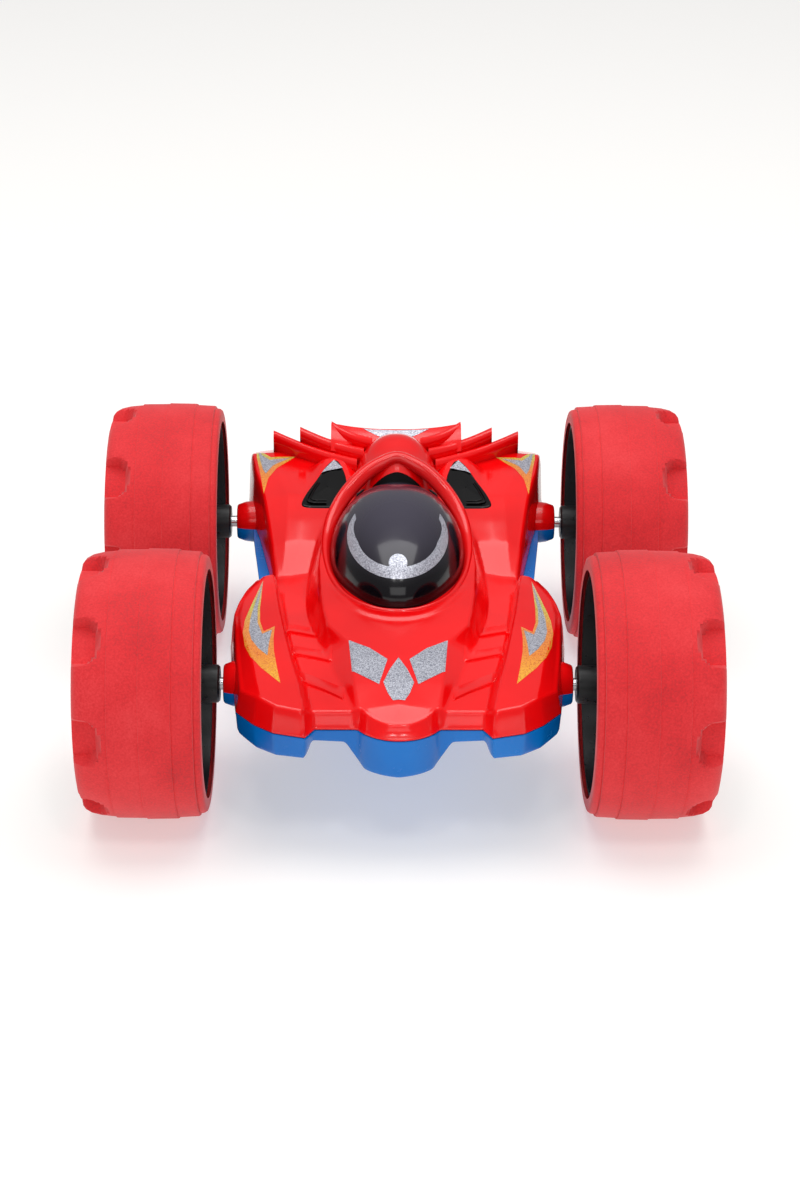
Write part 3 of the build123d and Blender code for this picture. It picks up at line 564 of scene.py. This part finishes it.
def shell(plan, heights, rings, flip, hole):
    """A skin: the sheet of heights without its holes, then rings round its border (inset, drop, or level)."""
    mesh = Mesh()
    edge_inset = rings[0][0]
    x, y = plan.sheet(ACROSS, ALONG, edge_inset)
    z = sample(heights, x, y)
    rows = [list(zip(x[r], y[r], z[r])) for r in range(ALONG)]
    mesh.grid(rows, flip=flip)
    centres = [np.mean([mesh.verts[i] for i in face], axis=0) for face in mesh.faces]
    mesh.faces = [face for face, c in zip(mesh.faces, centres) if not hole(c[0], c[1])]
    strips = []
    for inset, drop, level in rings:
        rx, ry = plan.ring(ACROSS, ALONG, inset)
        bx, by = plan.ring(ACROSS, ALONG, edge_inset)
        rz = np.full_like(rx, level) if level is not None else sample(heights, bx, by) + drop
        strips.append(list(zip(rx, ry, rz)))
    mesh.grid(strips, closed=True, flip=not flip)
    return mesh


INTAKE = [(17.8, 37.4), (25.0, 36.4), (32.6, 37.2), (31.6, 44.0), (28.4, 52.4), (22.2, 62.4), (18.6, 56.0),
          (17.4, 46.0)]


def in_outline(x, y, outline, grow):
    """Whether a plan point lies in the outline after it is scaled about its middle."""
    cx, cy = np.mean(outline, axis=0)
    x, y = cx + (x - cx) / grow, cy + (y - cy) / grow
    inside = False
    for (ax, ay), (bx, by) in zip(outline, outline[1:] + outline[:1]):
        if (ay > y) != (by > y) and x < ax + (y - ay) * (bx - ax) / (by - ay):
            inside = not inside
    return inside


def shell_holes(x, y):
    """Where the hood is open: under the canopy's rim and in the two intakes."""
    cockpit = (x / (canopy_r - 1.0)) ** 2 + ((y - canopy_y) / (canopy_half - 1.5)) ** 2 < 1
    return cockpit or (36 < y < 63 and in_outline(abs(x), y, INTAKE, 0.93))


# Openings through the blue floor: (x, y, half size in x, half size in y, corner radius). They are the battery
# door, the switch slot and the charging socket.
FLOOR_OPENINGS = [(0.0, -14.0, 24.0, 18.0, 0.6), (-14.0, 24.0, 2.5, 5.0, 0.6), (14.0, 24.0, 3.45, 3.45, 3.45)]
FLOOR_SCREWS = [(-39.0, -80.0), (39.0, -80.0), (-21.0, -66.0), (21.0, -66.0), (-37.0, 86.0), (37.0, 86.0)]
floor_z = 9.0
floor_top = 11.2
screw_recess_r = 2.75
screw_head_z = 36.0
rim_cover = 0.4  # how far the skin is cut back under the rims
# Sections of the rims, from the skin inwards: (growth beyond the opening, or radius; height over the floor).
RIM_STEPS = [(1.9, 0.15), (1.7, -0.2), (1.4, -0.35), (0.5, -0.35), (0.2, -0.2), (0.04, 0.1),
             (0.04, floor_top - floor_z)]
SCREW_RIM_STEPS = [(4.5, 0.15), (4.3, -0.2), (4.0, -0.35), (3.3, -0.35), (2.95, -0.1), (screw_recess_r, 0.3)]


def floor_holes(x, y):
    """Where the blue floor is open."""
    for cx, cy, half_x, half_y, radius in FLOOR_OPENINGS:
        dx, dy = max(abs(x - cx) - half_x + radius, 0), max(abs(y - cy) - half_y + radius, 0)
        if sqrt(dx * dx + dy * dy) < radius + rim_cover:
            return True
    return any((x - cx) ** 2 + (y - cy) ** 2 < (screw_recess_r + rim_cover) ** 2 for cx, cy in FLOOR_SCREWS)


def rim_loop(opening, grow):
    """Once round a floor opening's rounded rectangle, grown on all its sides."""
    x, y, half_x, half_y, radius = opening
    loop = []
    for quarter, (sx, sy) in enumerate(((1, 1), (-1, 1), (-1, -1), (1, -1))):
        for a in np.linspace(quarter * pi / 2, (quarter + 1) * pi / 2, 9):
            loop.append((x + sx * (half_x - radius) + (radius + grow) * cos(a),
                         y + sy * (half_y - radius) + (radius + grow) * sin(a)))
    return loop


def floor_rims():
    """Raised rims round the openings, which run on as the openings' inner walls."""
    mesh = Mesh()
    for opening in FLOOR_OPENINGS:
        rows = [[(x, y, floor_z + dz) for x, y in rim_loop(opening, grow)] for grow, dz in RIM_STEPS]
        mesh.grid(rows, closed=True)
    for cx, cy in FLOOR_SCREWS:
        rows = []
        for radius, dz in SCREW_RIM_STEPS:
            loop = [(cx + radius * cos(a), cy + radius * sin(a)) for a in np.linspace(0, tau, 37)[:-1]]
            rows.append([(x, y, float(sample(floor_heights, x, y)) + dz) for x, y in loop])
        rows.append([(x, y, screw_head_z) for x, y, _ in rows[-1]])
        mesh.grid(rows, closed=True)
    return mesh


def boss(mesh, upper):
    """Half of each axle boss, tapered, with its flat end and the bush seat."""
    turns = np.linspace(0, pi, 25) if upper else np.linspace(pi, tau, 25)
    for side in SIDES.values():
        for y, _, end in AXLES.values():
            profile = [
                (boss_inner, boss_root_r + 0.6), (end - 5.0, boss_root_r), (end - 2.8, boss_root_r - 0.3),
                (end - 0.4, boss_tip_r + 0.2), (end, boss_tip_r - 0.3), (end, bush_r),
            ]
            rows = [[(side * x, y + r * cos(a), axle_z + r * sin(a)) for a in turns] for x, r in profile]
            mesh.grid(rows, flip=side > 0)


upper_plan = Plan(UPPER_WAIST)
lower_plan = Plan(LOWER_WAIST)

red_mesh = shell(upper_plan, top_heights, [
    (2.5, 0.0, None), (2.0, -0.12, None), (1.55, -0.45, None), (1.25, -1.0, None), (0.7, -4.6, None),
    (0.12, None, seam_z + 0.8), (0.0, None, seam_z + 0.45), (0.12, None, seam_z + 0.15),
    (0.8, None, seam_z + 0.1), (2.4, None, seam_z + 0.1),
], False, shell_holes)
boss(red_mesh, True)
blue_mesh = shell(lower_plan, floor_heights, [
    (1.9, 0.0, None), (1.5, 0.12, None), (1.15, 0.4, None), (0.9, 0.9, None), (0.45, 2.2, None),
    (0.1, None, seam_z - 0.8), (0.0, None, seam_z - 0.45), (0.12, None, seam_z - 0.15),
    (0.8, None, seam_z - 0.1), (7.0, None, seam_z - 0.1),
], True, floor_holes)
boss(blue_mesh, False)


# ------------------------------ hump, roll hoop and canopy collar
def smooth_path(points, count):
    """An even sampling of a Catmull-Rom curve through given points."""
    pts = np.array(points, float)
    pts = np.concatenate([[2 * pts[0] - pts[1]], pts, [2 * pts[-1] - pts[-2]]])
    out = []
    spans = len(pts) - 3
    for s in np.linspace(0, spans - 1e-9, count):
        i = int(s)
        t = s - i
        a, b, c, d = pts[i:i + 4]
        square, cube = 2 * a - 5 * b + 4 * c - d, 3 * b - a - 3 * c + d
        out.append(0.5 * (2 * b + (c - a) * t + square * t**2 + cube * t**3))
    return np.array(out)


def swept_band(mesh, path, widths, heights, normals, power=2.6):
    """A band with a rounded section along a path; half widths lie across it and heights along its normals."""
    rows = []
    for i, p in enumerate(path):
        ahead = path[min(i + 1, len(path) - 1)] - path[max(i - 1, 0)]
        ahead = ahead / np.linalg.norm(ahead)
        up = normals[i] - ahead * np.dot(normals[i], ahead)
        up = up / np.linalg.norm(up)
        out = np.cross(ahead, up)
        ring = []
        for a in np.linspace(0, tau, 29)[:-1]:
            c, s = cos(a), sin(a)
            side_step = out * widths[i] * np.sign(c) * abs(c) ** (2 / power)
            ring.append(p + side_step + up * heights[i] * np.sign(s) * abs(s) ** (2 / power))
        rows.append(ring)
    mesh.grid(rows, closed=True)


# Half of the collar's line round the canopy, from the front to the crown of the hoop:
# (x, y, z, half width, height).
COLLAR = [
    (0, -43.2, 57.4, 0.9, 1.0), (8.4, -41.0, 57.6, 0.9, 1.0), (16.2, -33.2, 58.0, 0.9, 1.1),
    (21.3, -19.6, 58.6, 0.9, 1.2), (23.4, -6.0, 59.2, 1.0, 1.4), (23.6, 6.0, 61.0, 1.5, 1.9),
    (21.8, 16.0, 65.0, 2.1, 2.3), (17.4, 23.8, 70.2, 2.5, 2.6), (11.2, 29.0, 75.4, 2.8, 2.6),
    (5.2, 31.8, 78.6, 3.0, 2.4), (0, 32.8, 80.2, 3.1, 2.2),
]


def mirror_line(table):
    """The whole loop, from the half that starts and ends in the middle plane."""
    left = [(-row[0],) + tuple(row[1:]) for row in table[1:-1]]
    return list(table) + left[::-1]


def collar():
    """The raised edge round the canopy, which thickens into the roll hoop behind it."""
    mesh = Mesh()
    line = mirror_line(COLLAR)
    count, overlap = 400, 3
    spans = len(line) + 2 * overlap - 1
    closed = smooth_path(line[-overlap:] + line + line[:overlap], count)
    keep = closed[int(count * overlap / spans): int(count * (overlap + len(line)) / spans) + 1]
    path = keep[:, :3]
    middle_y, middle_z = -4.0, 52.0
    normals = [np.array([x * 0.9, (y - middle_y) * 0.35, (z - middle_z) * 0.9 + 9]) for x, y, z in path]
    swept_band(mesh, path, keep[:, 3], keep[:, 4], normals)
    return mesh


# The hump behind the hoop: (y, crown height, half width at the deck, shoulder squareness).
HUMP = [
    (28.0, 76.8, 15.0, 1.7), (31.0, 79.6, 16.0, 1.7), (35.0, 80.2, 16.6, 1.75), (40.0, 78.6, 16.4, 1.85),
    (45.0, 76.6, 16.0, 2.0), (50.0, 76.8, 15.8, 2.1), (57.0, 78.2, 15.6, 2.2), (63.0, 77.4, 15.0, 2.2),
    (68.0, 75.2, 14.2, 2.2), (76.0, 70.8, 12.6, 2.1), (86.0, 65.0, 10.2, 2.0), (96.0, 58.0, 7.0, 2.0),
]
hump_base = 54.0


def hump():
    """The headrest: a ridge of round sections that sinks into the tail."""
    mesh = Mesh()
    rows = []
    for y, crown, half, power in smooth_path(HUMP, 90):
        row = []
        for a in np.linspace(0, pi, 61):
            c, s = cos(a), sin(a)
            lift = abs(s) ** (2 / power)
            row.append((half * np.sign(c) * abs(c) ** (2 / power), y, hump_base + (crown - hump_base) * lift))
        rows.append(row)
    mesh.grid(rows)
    return mesh


# ------------------------------ tail blades
# Each blade: inner end (x, y, z) and tip (x, y, z) of its top front edge, and its face's depth at both ends.
BLADES = [
    ((8.5, 65.0, 74.4), (23.3, 77.0, 76.0), 3.4, 3.4),
    ((11.5, 63.0, 71.2), (34.7, 78.0, 73.4), 3.6, 3.6),
    ((14.0, 59.5, 68.4), (44.5, 82.0, 70.4), 3.8, 4.4),
]
# Section of a blade's rounded face: (distance behind the edge, part of the face's depth below it).
BLADE_FACE = [(-1.1, 0.86), (-1.3, 0.68), (-1.2, 0.48), (-0.9, 0.3), (-0.4, 0.14)]
blade_depth = 15.0  # how far a blade's top runs back
blade_sag = 1.0  # of its top edge, half way along
# The spoiler plate's top edge from the middle plane to the tip of the inner blade, and its section along Y.
SPOILER_DIP = [(0.0, 79.6, 72.6), (8.0, 79.0, 73.0), (16.0, 78.0, 74.2), (23.4, 77.0, 75.9)]
SPOILER_SLOPE = [
    (-9.0, -7.0), (-7.0, -3.4), (-3.5, -1.6), (-0.6, -0.2), (0.0, 0.0), (0.5, -0.1), (0.9, -0.5), (6.0, -4.0),
    (14.0, -9.0), (19.0, -14.0),
]


def blade(mesh, inner, tip, drop_in, drop_tip, side):
    """A feather-like bar: rounded leading edge, a slightly hollow top that runs back and down, square tip."""
    rows = []
    for t in np.linspace(0, 1, 25):
        p = np.array(inner) * (1 - t) + np.array(tip) * t
        p[2] -= blade_sag * sin(pi * t)
        drop = drop_in * (1 - t) + drop_tip * t
        back = blade_depth * (0.75 + 0.25 * t)
        face = [(0.9, -drop - 4.0), (-0.5, -drop - 0.3)]
        face += [(behind, -drop * part) for behind, part in BLADE_FACE]
        top = [(0.2, -0.08), (0.9, 0.08), (2.0, -0.05), (back * 0.5, -2.2), (back, -5.6), (back + 0.6, -6.4),
               (back + 0.6, -13.0)]
        rows.append([(side * p[0], p[1] + dy, p[2] + dz) for dy, dz in face + top])
    mesh.grid(rows, flip=side > 0)
    for row, turn in ((rows[-1], side > 0), (rows[0], side < 0)):
        lowest = min(v[2] for v in row)
        mesh.grid([row, [(v[0], v[1], lowest) for v in row]], flip=turn)


def spoiler_plate(mesh):
    """The dished plate between the two inner blades, running back from a curved top edge."""
    line = smooth_path([(-x, y, z) for x, y, z in SPOILER_DIP[:0:-1]] + SPOILER_DIP, 61)
    rows = []
    for dy, dz in SPOILER_SLOPE:
        rows.append([(x, y + dy, z + dz) for x, y, z in line])
    mesh.grid(rows)


tail_mesh = Mesh()
for inner, tip, drop_in, drop_tip in BLADES:
    for side in SIDES.values():
        blade(tail_mesh, inner, tip, drop_in, drop_tip, side)
spoiler_plate(tail_mesh)

red_mesh.install("shell_red_top", RED, CHASSIS, "red_gloss", "upper_shell")
for piece_name, piece in (("hood_collar", collar()), ("headrest_hump", hump()), ("tail_blades", tail_mesh)):
    piece.install(piece_name, RED, CHASSIS, "red_gloss", "upper_shell", 38)
blue_mesh.install("shell_blue_bottom", BLUE, CHASSIS, "blue_gloss", "lower_shell", 50)
floor_rims().install("floor_rims", BLUE, CHASSIS, "blue_gloss", "lower_shell", 50, outwards=False)


# ------------------------------ canopy bubble and its printed band
def bubble():
    """The canopy, half an ellipsoid with its rim a little below the deck."""
    mesh = Mesh()
    rows = []
    for a in np.linspace(-0.12, pi / 2, 60):
        ring_r, ring_half = canopy_r * cos(a), canopy_half * cos(a)
        rows.append([(ring_r * cos(b), canopy_y + ring_half * sin(b), canopy_z + canopy_rise * sin(a))
                     for b in np.linspace(0, tau, 121)[:-1]])
    mesh.grid(rows, closed=True)
    return mesh


bubble().install("canopy_bubble", SMOKED_PAINTED_REFLECTION, CHASSIS, "smoked", "canopy")

band_tilt = radians(25)  # the band is round when looked at from this far above the horizon
band_centre, band_outer, band_inner = 58.6, (16.6, 14.4), (13.2, 10.6)
band_reach = 122  # degrees that each arm runs up from the band's lowest point
taper_start, taper_length = radians(78), radians(44)


def on_bubble(x, s, proud):
    """The front point of the canopy at x whose height, seen along the band's tilt, is s."""
    back = np.array([0.0, cos(band_tilt), -sin(band_tilt)])
    up = np.array([0.0, sin(band_tilt), cos(band_tilt)])
    origin = np.array([x, 0, 0]) + up * s
    shape = np.array([canopy_r + proud, canopy_half + proud, canopy_rise + proud])
    centre = np.array([0, canopy_y, canopy_z])
    p, d = (origin - centre) / shape, back / shape
    a, b, c = d @ d, p @ d, p @ p - 1
    t = (-b - sqrt(max(b * b - a * c, 0))) / a
    return tuple(origin + back * t)


def band():
    """A crescent whose arms taper, with a round tab on its lowest point."""
    mesh = Mesh()
    rows = []
    for f in np.linspace(0, 1, 9):
        row = []
        for a in np.linspace(radians(-90 - band_reach), radians(-90 + band_reach), 131):
            fade = np.clip((abs(a + pi / 2) - taper_start) / taper_length, 0, 1)
            inner_x = band_inner[0] + (band_outer[0] - band_inner[0]) * fade * 0.85
            rx = inner_x + (band_outer[0] - inner_x) * f
            rs = band_inner[1] + (band_outer[1] - band_inner[1]) * f
            row.append(on_bubble(rx * cos(a), band_centre + rs * sin(a), 0.07))
        rows.append(row)
    mesh.grid(rows)
    tab_centre, tab_r = band_centre - band_inner[1] + 1.4, 3.0
    turns = np.linspace(0, tau, 33)[:-1]
    disc = [[on_bubble(tab_r * f * cos(a), tab_centre + tab_r * f * sin(a), 0.09) for a in turns]
            for f in np.linspace(0.02, 1, 5)]
    mesh.grid(disc, closed=True)
    return mesh


band().install("canopy_band", SILVER, CHASSIS, "smoked", "canopy")


# ------------------------------ printed decals that lie on the shell
decal_step = 0.8  # spacing of a print's points


def decal(name, outline, look, proud, side=1, height=top_z):
    """A thin print on the skin: the outline filled with points so that it follows the surface."""
    step = decal_step
    outline = [(side * x, y) for x, y in outline]
    border = []
    for (ax, ay), (bx, by) in zip(outline, outline[1:] + outline[:1]):
        n = max(1, int(sqrt((bx - ax) ** 2 + (by - ay) ** 2) / step))
        border += [(ax + (bx - ax) * i / n, ay + (by - ay) * i / n) for i in range(n)]
    xs, ys = [p[0] for p in border], [p[1] for p in border]
    inner = [(x, y) for x in np.arange(min(xs), max(xs), step) for y in np.arange(min(ys), max(ys), step)]
    points = [Vector(p) for p in border + inner]
    edges = [(i, (i + 1) % len(border)) for i in range(len(border))]
    verts, _, faces, _, _, _ = delaunay_2d_cdt(points, edges, [list(range(len(border)))], 1, 1e-5)
    flat = np.array([(v.x, v.y) for v in verts])
    z = height(flat[:, 0], flat[:, 1]) + proud
    obj = make_object(name, [(x, y, h) for (x, y), h in zip(flat, z)], faces, look)
    if obj.data.polygons[0].normal.z < 0:
        obj.data.flip_normals()
    place(obj, CHASSIS, "upper_shell")


FLAME = [(44.3, -16.5), (46.8, -32), (48.9, -46), (49.2, -54), (48.2, -62), (46.0, -69.5), (42.6, -76),
         (36.2, -85), (37.6, -76), (38.9, -66), (39.3, -58), (39.2, -50), (42.6, -53.4), (44.0, -47),
         (44.4, -38)]
FLAME_CORE = [(44.4, -19), (46.0, -33), (47.2, -45), (47.3, -53), (46.2, -59), (43.8, -64.5), (40.8, -69),
              (40.6, -61), (40.0, -52.4), (43.0, -55.2), (44.8, -47.6), (45.2, -38)]
REAR_FLAME = [(51.0, 86), (50.4, 76), (48.8, 64), (46.8, 48.5), (45.6, 58), (42.8, 65.5), (36.4, 76),
              (45.2, 75.5), (48.2, 80)]
REAR_CORE = [(50.4, 85), (49.4, 76), (47.8, 66), (46.6, 62), (44.4, 68.0), (38.4, 74.6), (45.6, 73.2),
             (48.6, 78)]
KITE = [(15.6, -59.8), (9.0, -65.0), (3.4, -72.2), (6.0, -85.2), (14.4, -77.2)]
DIAMOND = [(0, -71.6), (2.6, -77.5), (4.7, -84.4), (3.4, -89.6), (1.8, -93.4), (-1.8, -93.4), (-3.4, -89.6),
           (-4.7, -84.4), (-2.6, -77.5)]

for side_name, side in SIDES.items():
    decal(f"fender_flame_{side_name}", FLAME, FLAME_FRONT, 0.06, side)
    decal(f"fender_flame_core_{side_name}", FLAME_CORE, SILVER, 0.10, side)
    decal(f"rear_flame_{side_name}", REAR_FLAME, FLAME_REAR, 0.06, side)
    decal(f"rear_flame_core_{side_name}", REAR_CORE, SILVER, 0.10, side)
    decal(f"nose_facet_{side_name}", KITE, SILVER, 0.10, side)
decal("nose_facet_middle", DIAMOND, SILVER, 0.10)


# ------------------------------ intake inserts
INTAKE_APEX = [(26.6, 55.2), (22.2, 61.9), (19.0, 57.4)]
# The insert's rounded surface from its edge inwards: (scale about the middle, height over the skin).
INTAKE_STEPS = [(1.03, -0.7), (1.01, 0.2), (0.985, 0.42), (0.93, 0.5), (0.9, 0.34), (0.86, 0.3), (0.7, 0.5),
                (0.4, 0.75), (0.02, 0.85)]


def intake(side_name, side):
    """A black triangular window: a raised lip round a domed glossy pane with two ribs."""
    ring = smooth_path([(x, y, 0) for x, y in INTAKE + INTAKE[:1]], 121)[:-1]
    middle = ring.mean(axis=0)

    def on_skin(p, shrink, lift):
        """A point of the outline moved towards its middle and lifted off the skin."""
        x, y = middle[0] + (p[0] - middle[0]) * shrink, middle[1] + (p[1] - middle[1]) * shrink
        return side * x, y, float(top_z(x, y)) + lift

    mesh = Mesh()
    mesh.grid([[on_skin(p, shrink, lift) for p in ring] for shrink, lift in INTAKE_STEPS], closed=True)
    for shrink in (0.8, 0.66):
        rib = [on_skin(ring[i], shrink, 0.6) for i in range(14, 62, 3)]
        count = len(rib)
        upwards = [np.array([0.0, 0.0, 1.0])] * count
        swept_band(mesh, np.array(rib), [0.28] * count, [0.3] * count, upwards, 2.0)
    mesh.install(f"intake_{side_name}", BLACK_GLOSS, CHASSIS, "black_gloss", f"{side_name}_intake_insert")


# Each louvre's front edge across the valley: (x, y) at the fender and at the hood.
LOUVRES = [((35.6, -39.2), (25.2, -45.4)), ((33.4, -57.6), (20.8, -64.0)), ((30.6, -76.8), (16.6, -88.4))]
# Section of a louvre: (distance behind its front edge, height over the skin).
LOUVRE_STEPS = [(-0.35, -0.3), (-0.2, 0.35), (0.05, 0.68), (0.5, 0.72), (2.5, 0.5), (6.0, 0.16), (8.0, -0.15)]


def louvre_lips(side_name, side):
    """Three shingle-like steps across the valley beside the hood, each facing the nose."""
    mesh = Mesh()
    for outer, inner in LOUVRES:
        rows = []
        for t in np.linspace(0, 1, 25):
            x = outer[0] + (inner[0] - outer[0]) * t
            y = outer[1] + (inner[1] - outer[1]) * t
            fade = min(1.0, 20 * t, 20 * (1 - t))
            row = []
            for along, lift in LOUVRE_STEPS:
                height = lift * fade if lift > 0 else lift
                row.append((side * x, y + along, float(top_z(x, y + along)) + height))
            rows.append(row)
        mesh.grid(rows, flip=side > 0)
    mesh.install(f"valley_louvres_{side_name}", RED, CHASSIS, "red_gloss", "upper_shell", 40)


def plate_z(x, y):
    """Height of the spoiler plate's front slope."""
    line_x, line_y, line_z = np.array(SPOILER_DIP).T
    ahead = y - np.interp(np.abs(x), line_x, line_y)
    return np.interp(np.abs(x), line_x, line_z) + np.interp(ahead, *np.array(SPOILER_SLOPE[:5]).T)


SPOILER_PRINT = [(-11.9, 78.0), (-6.0, 78.7), (0.0, 79.0), (6.0, 78.7), (11.9, 78.0), (5.8, 75.6),
                 (-5.8, 75.6)]
decal("spoiler_print", SPOILER_PRINT, SILVER, 0.1, height=plate_z)

for side_name, side in SIDES.items():
    louvre_lips(side_name, side)
    intake(side_name, side)
    decal(f"intake_apex_{side_name}", INTAKE_APEX, SILVER, 0.85, side)


# ------------------------------ tyres
notch_count = 8
notch_half = 7.4  # half the length of a notch round the wheel
notch_depth = 4.4
notch_start = 30.4  # from the wheel's body side, in the middle of a notch
notch_rounding = 3.6  # how much further out a notch starts at its ends
notch_edge = 0.8  # width of a notch's sloping sides
shoulder_r = 41.0
# Distance from the body-side face and radius along the tread, with its shallow steps and grooves.
TREAD = [
    (0.0, tyre_bore_r), (0.0, 39.2), (0.25, 40.0), (0.9, 40.5), (1.9, 40.7), (2.05, 40.5), (2.3, 40.5),
    (2.4, 41.4), (2.8, 41.6), (8.5, 41.9), (8.65, 41.78), (8.9, 41.78), (9.0, 42.25), (9.4, 42.35),
    (18.6, 42.5), (18.7, 42.2), (18.95, 42.18), (19.2, 42.22), (28.1, 42.1), (28.2, 41.68), (28.45, 41.66),
    (28.7, 41.72), (33.0, 41.3), (36.0, 40.6), (37.8, 39.6), (38.7, 38.4), (39.0, 37.0), (39.0, tyre_bore_r),
]


def ease(t):
    """A smooth step from 0 to 1, limited to them outside."""
    t = np.clip(t, 0, 1)
    return t * t * (3 - 2 * t)


def tyre(name, side, y, middle):
    """A foam tyre with its stepped tread and the scooped notches in its outer shoulder."""
    inner = middle - wheel_width / 2
    profile = []
    for (a, ra), (b, rb) in zip(TREAD, TREAD[1:]):
        n = max(1, int(sqrt((b - a) ** 2 + (rb - ra) ** 2) / 0.9))
        profile += [(a + (b - a) * i / n, ra + (rb - ra) * i / n) for i in range(n)]
    profile.append(TREAD[-1])
    rows = []
    for turn in np.linspace(0, tau, 361)[:-1]:
        phase = (turn * notch_count / tau + 0.5) % 1 - 0.5
        along = abs(phase) * tau / notch_count * shoulder_r
        start = notch_start + notch_rounding * (min(along, notch_half) / notch_half) ** 3
        ends = ease((notch_half - along) / notch_edge)
        row = []
        for u, r in profile:
            radius = r
            if r > tyre_bore_r:
                scoop = notch_depth * ends * ease((u - start) / notch_edge)
                radius = max(r - scoop, tyre_bore_r + 0.6)
            row.append((side * (inner + u), y + radius * cos(turn), axle_z + radius * sin(turn)))
        rows.append(row)
    rows.append(rows[0])
    mesh = Mesh()
    mesh.grid(rows, flip=side > 0)
    mesh.install(f"tyre_tread_{name}", TYRE, f"wheel_{name}", "tyre_red", f"tyre_{name}", 36)


for end_name, (y, middle, _) in AXLES.items():
    for side_name, side in SIDES.items():
        tyre(f"{end_name}_{side_name}", side, y, middle)


# ------------------------------ stage, light and camera
LIGHT_TARGET = Vector((0, 0, 0.04))


def area_light(name, where, size, power):
    """A white softbox aimed at the middle of the car; metres and watts."""
    data = bpy.data.lights.new(name, "AREA")
    data.shape = "RECTANGLE"
    data.size, data.size_y = size
    data.energy = power
    light = bpy.data.objects.new(name, data)
    light.location = where
    light.rotation_euler = (LIGHT_TARGET - Vector(where)).to_track_quat("-Z", "Y").to_euler()
    bpy.context.scene.collection.objects.link(light)
    return light


def studio():
    """A pale floor that glows a little, four softboxes and a sky that is bright only overhead."""
    floor_mat = material("studio_floor", (0.6, 0.585, 0.56, 1), 0.9, specular=0.2)
    floor_shader = floor_mat.node_tree.nodes["Principled BSDF"]
    floor_shader.inputs["Emission Color"].default_value = (1, 1, 1, 1)
    floor_shader.inputs["Emission Strength"].default_value = 0.45
    corners = [(-9, -9, 0), (9, -9, 0), (9, 9, 0), (-9, 9, 0)]
    floor = make_object("studio_floor", corners, [(0, 1, 2, 3)], floor_mat, smooth=False, scale=1.0)
    lights = [
        area_light("top_softbox", (0.0, 0.15, 1.3), (1.3, 0.8), 9.0),
        area_light("front_softbox", (-0.2, -0.75, 1.3), (0.13, 0.26), 1.6),
        area_light("front_strip", (0.2, -0.75, 1.3), (0.13, 0.26), 1.6),
        area_light("front_fill", (0.0, -1.7, 0.8), (1.4, 0.8), 5.0),
    ]
    world = bpy.data.worlds.new("studio")
    bpy.context.scene.world = world
    world.use_nodes = True
    tree = world.node_tree
    coords = tree.nodes.new("ShaderNodeTexCoord")
    split = tree.nodes.new("ShaderNodeSeparateXYZ")
    tree.links.new(coords.outputs["Generated"], split.inputs[0])
    sky = ramp(tree, split.outputs["Z"], [
        (0.0, (0.30, 0.30, 0.31, 1)), (0.5, (0.34, 0.34, 0.35, 1)), (0.74, (0.5, 0.5, 0.51, 1)),
        (0.92, (1, 1, 1, 1)),
    ])
    tree.links.new(sky, tree.nodes["Background"].inputs["Color"])
    tree.nodes["Background"].inputs["Strength"].default_value = 0.9
    bpy.context.scene.view_settings.view_transform = "Standard"


def camera():
    """A view from the front, a little above, through a long lens."""
    pitch, yaw, roll = radians(24.94), radians(0.59), radians(0.41)
    data = bpy.data.cameras.new("camera")
    data.sensor_width = 36
    data.lens = 74.7
    cam = bpy.data.objects.new("camera", data)
    cam.location = (-0.0068, -0.7648, 0.3971)
    ahead = Vector((sin(yaw) * cos(pitch), cos(yaw) * cos(pitch), -sin(pitch)))
    right = Vector((cos(yaw), -sin(yaw), 0))
    up = right.cross(ahead)
    tilted_right = right * cos(roll) + up * sin(roll)
    tilted_up = up * cos(roll) - right * sin(roll)
    turn = Matrix((tilted_right, tilted_up, -ahead)).transposed()
    cam.rotation_euler = turn.to_euler()
    bpy.context.scene.collection.objects.link(cam)
    bpy.context.scene.camera = cam


studio()
camera()

bpy.context.view_layer.update()
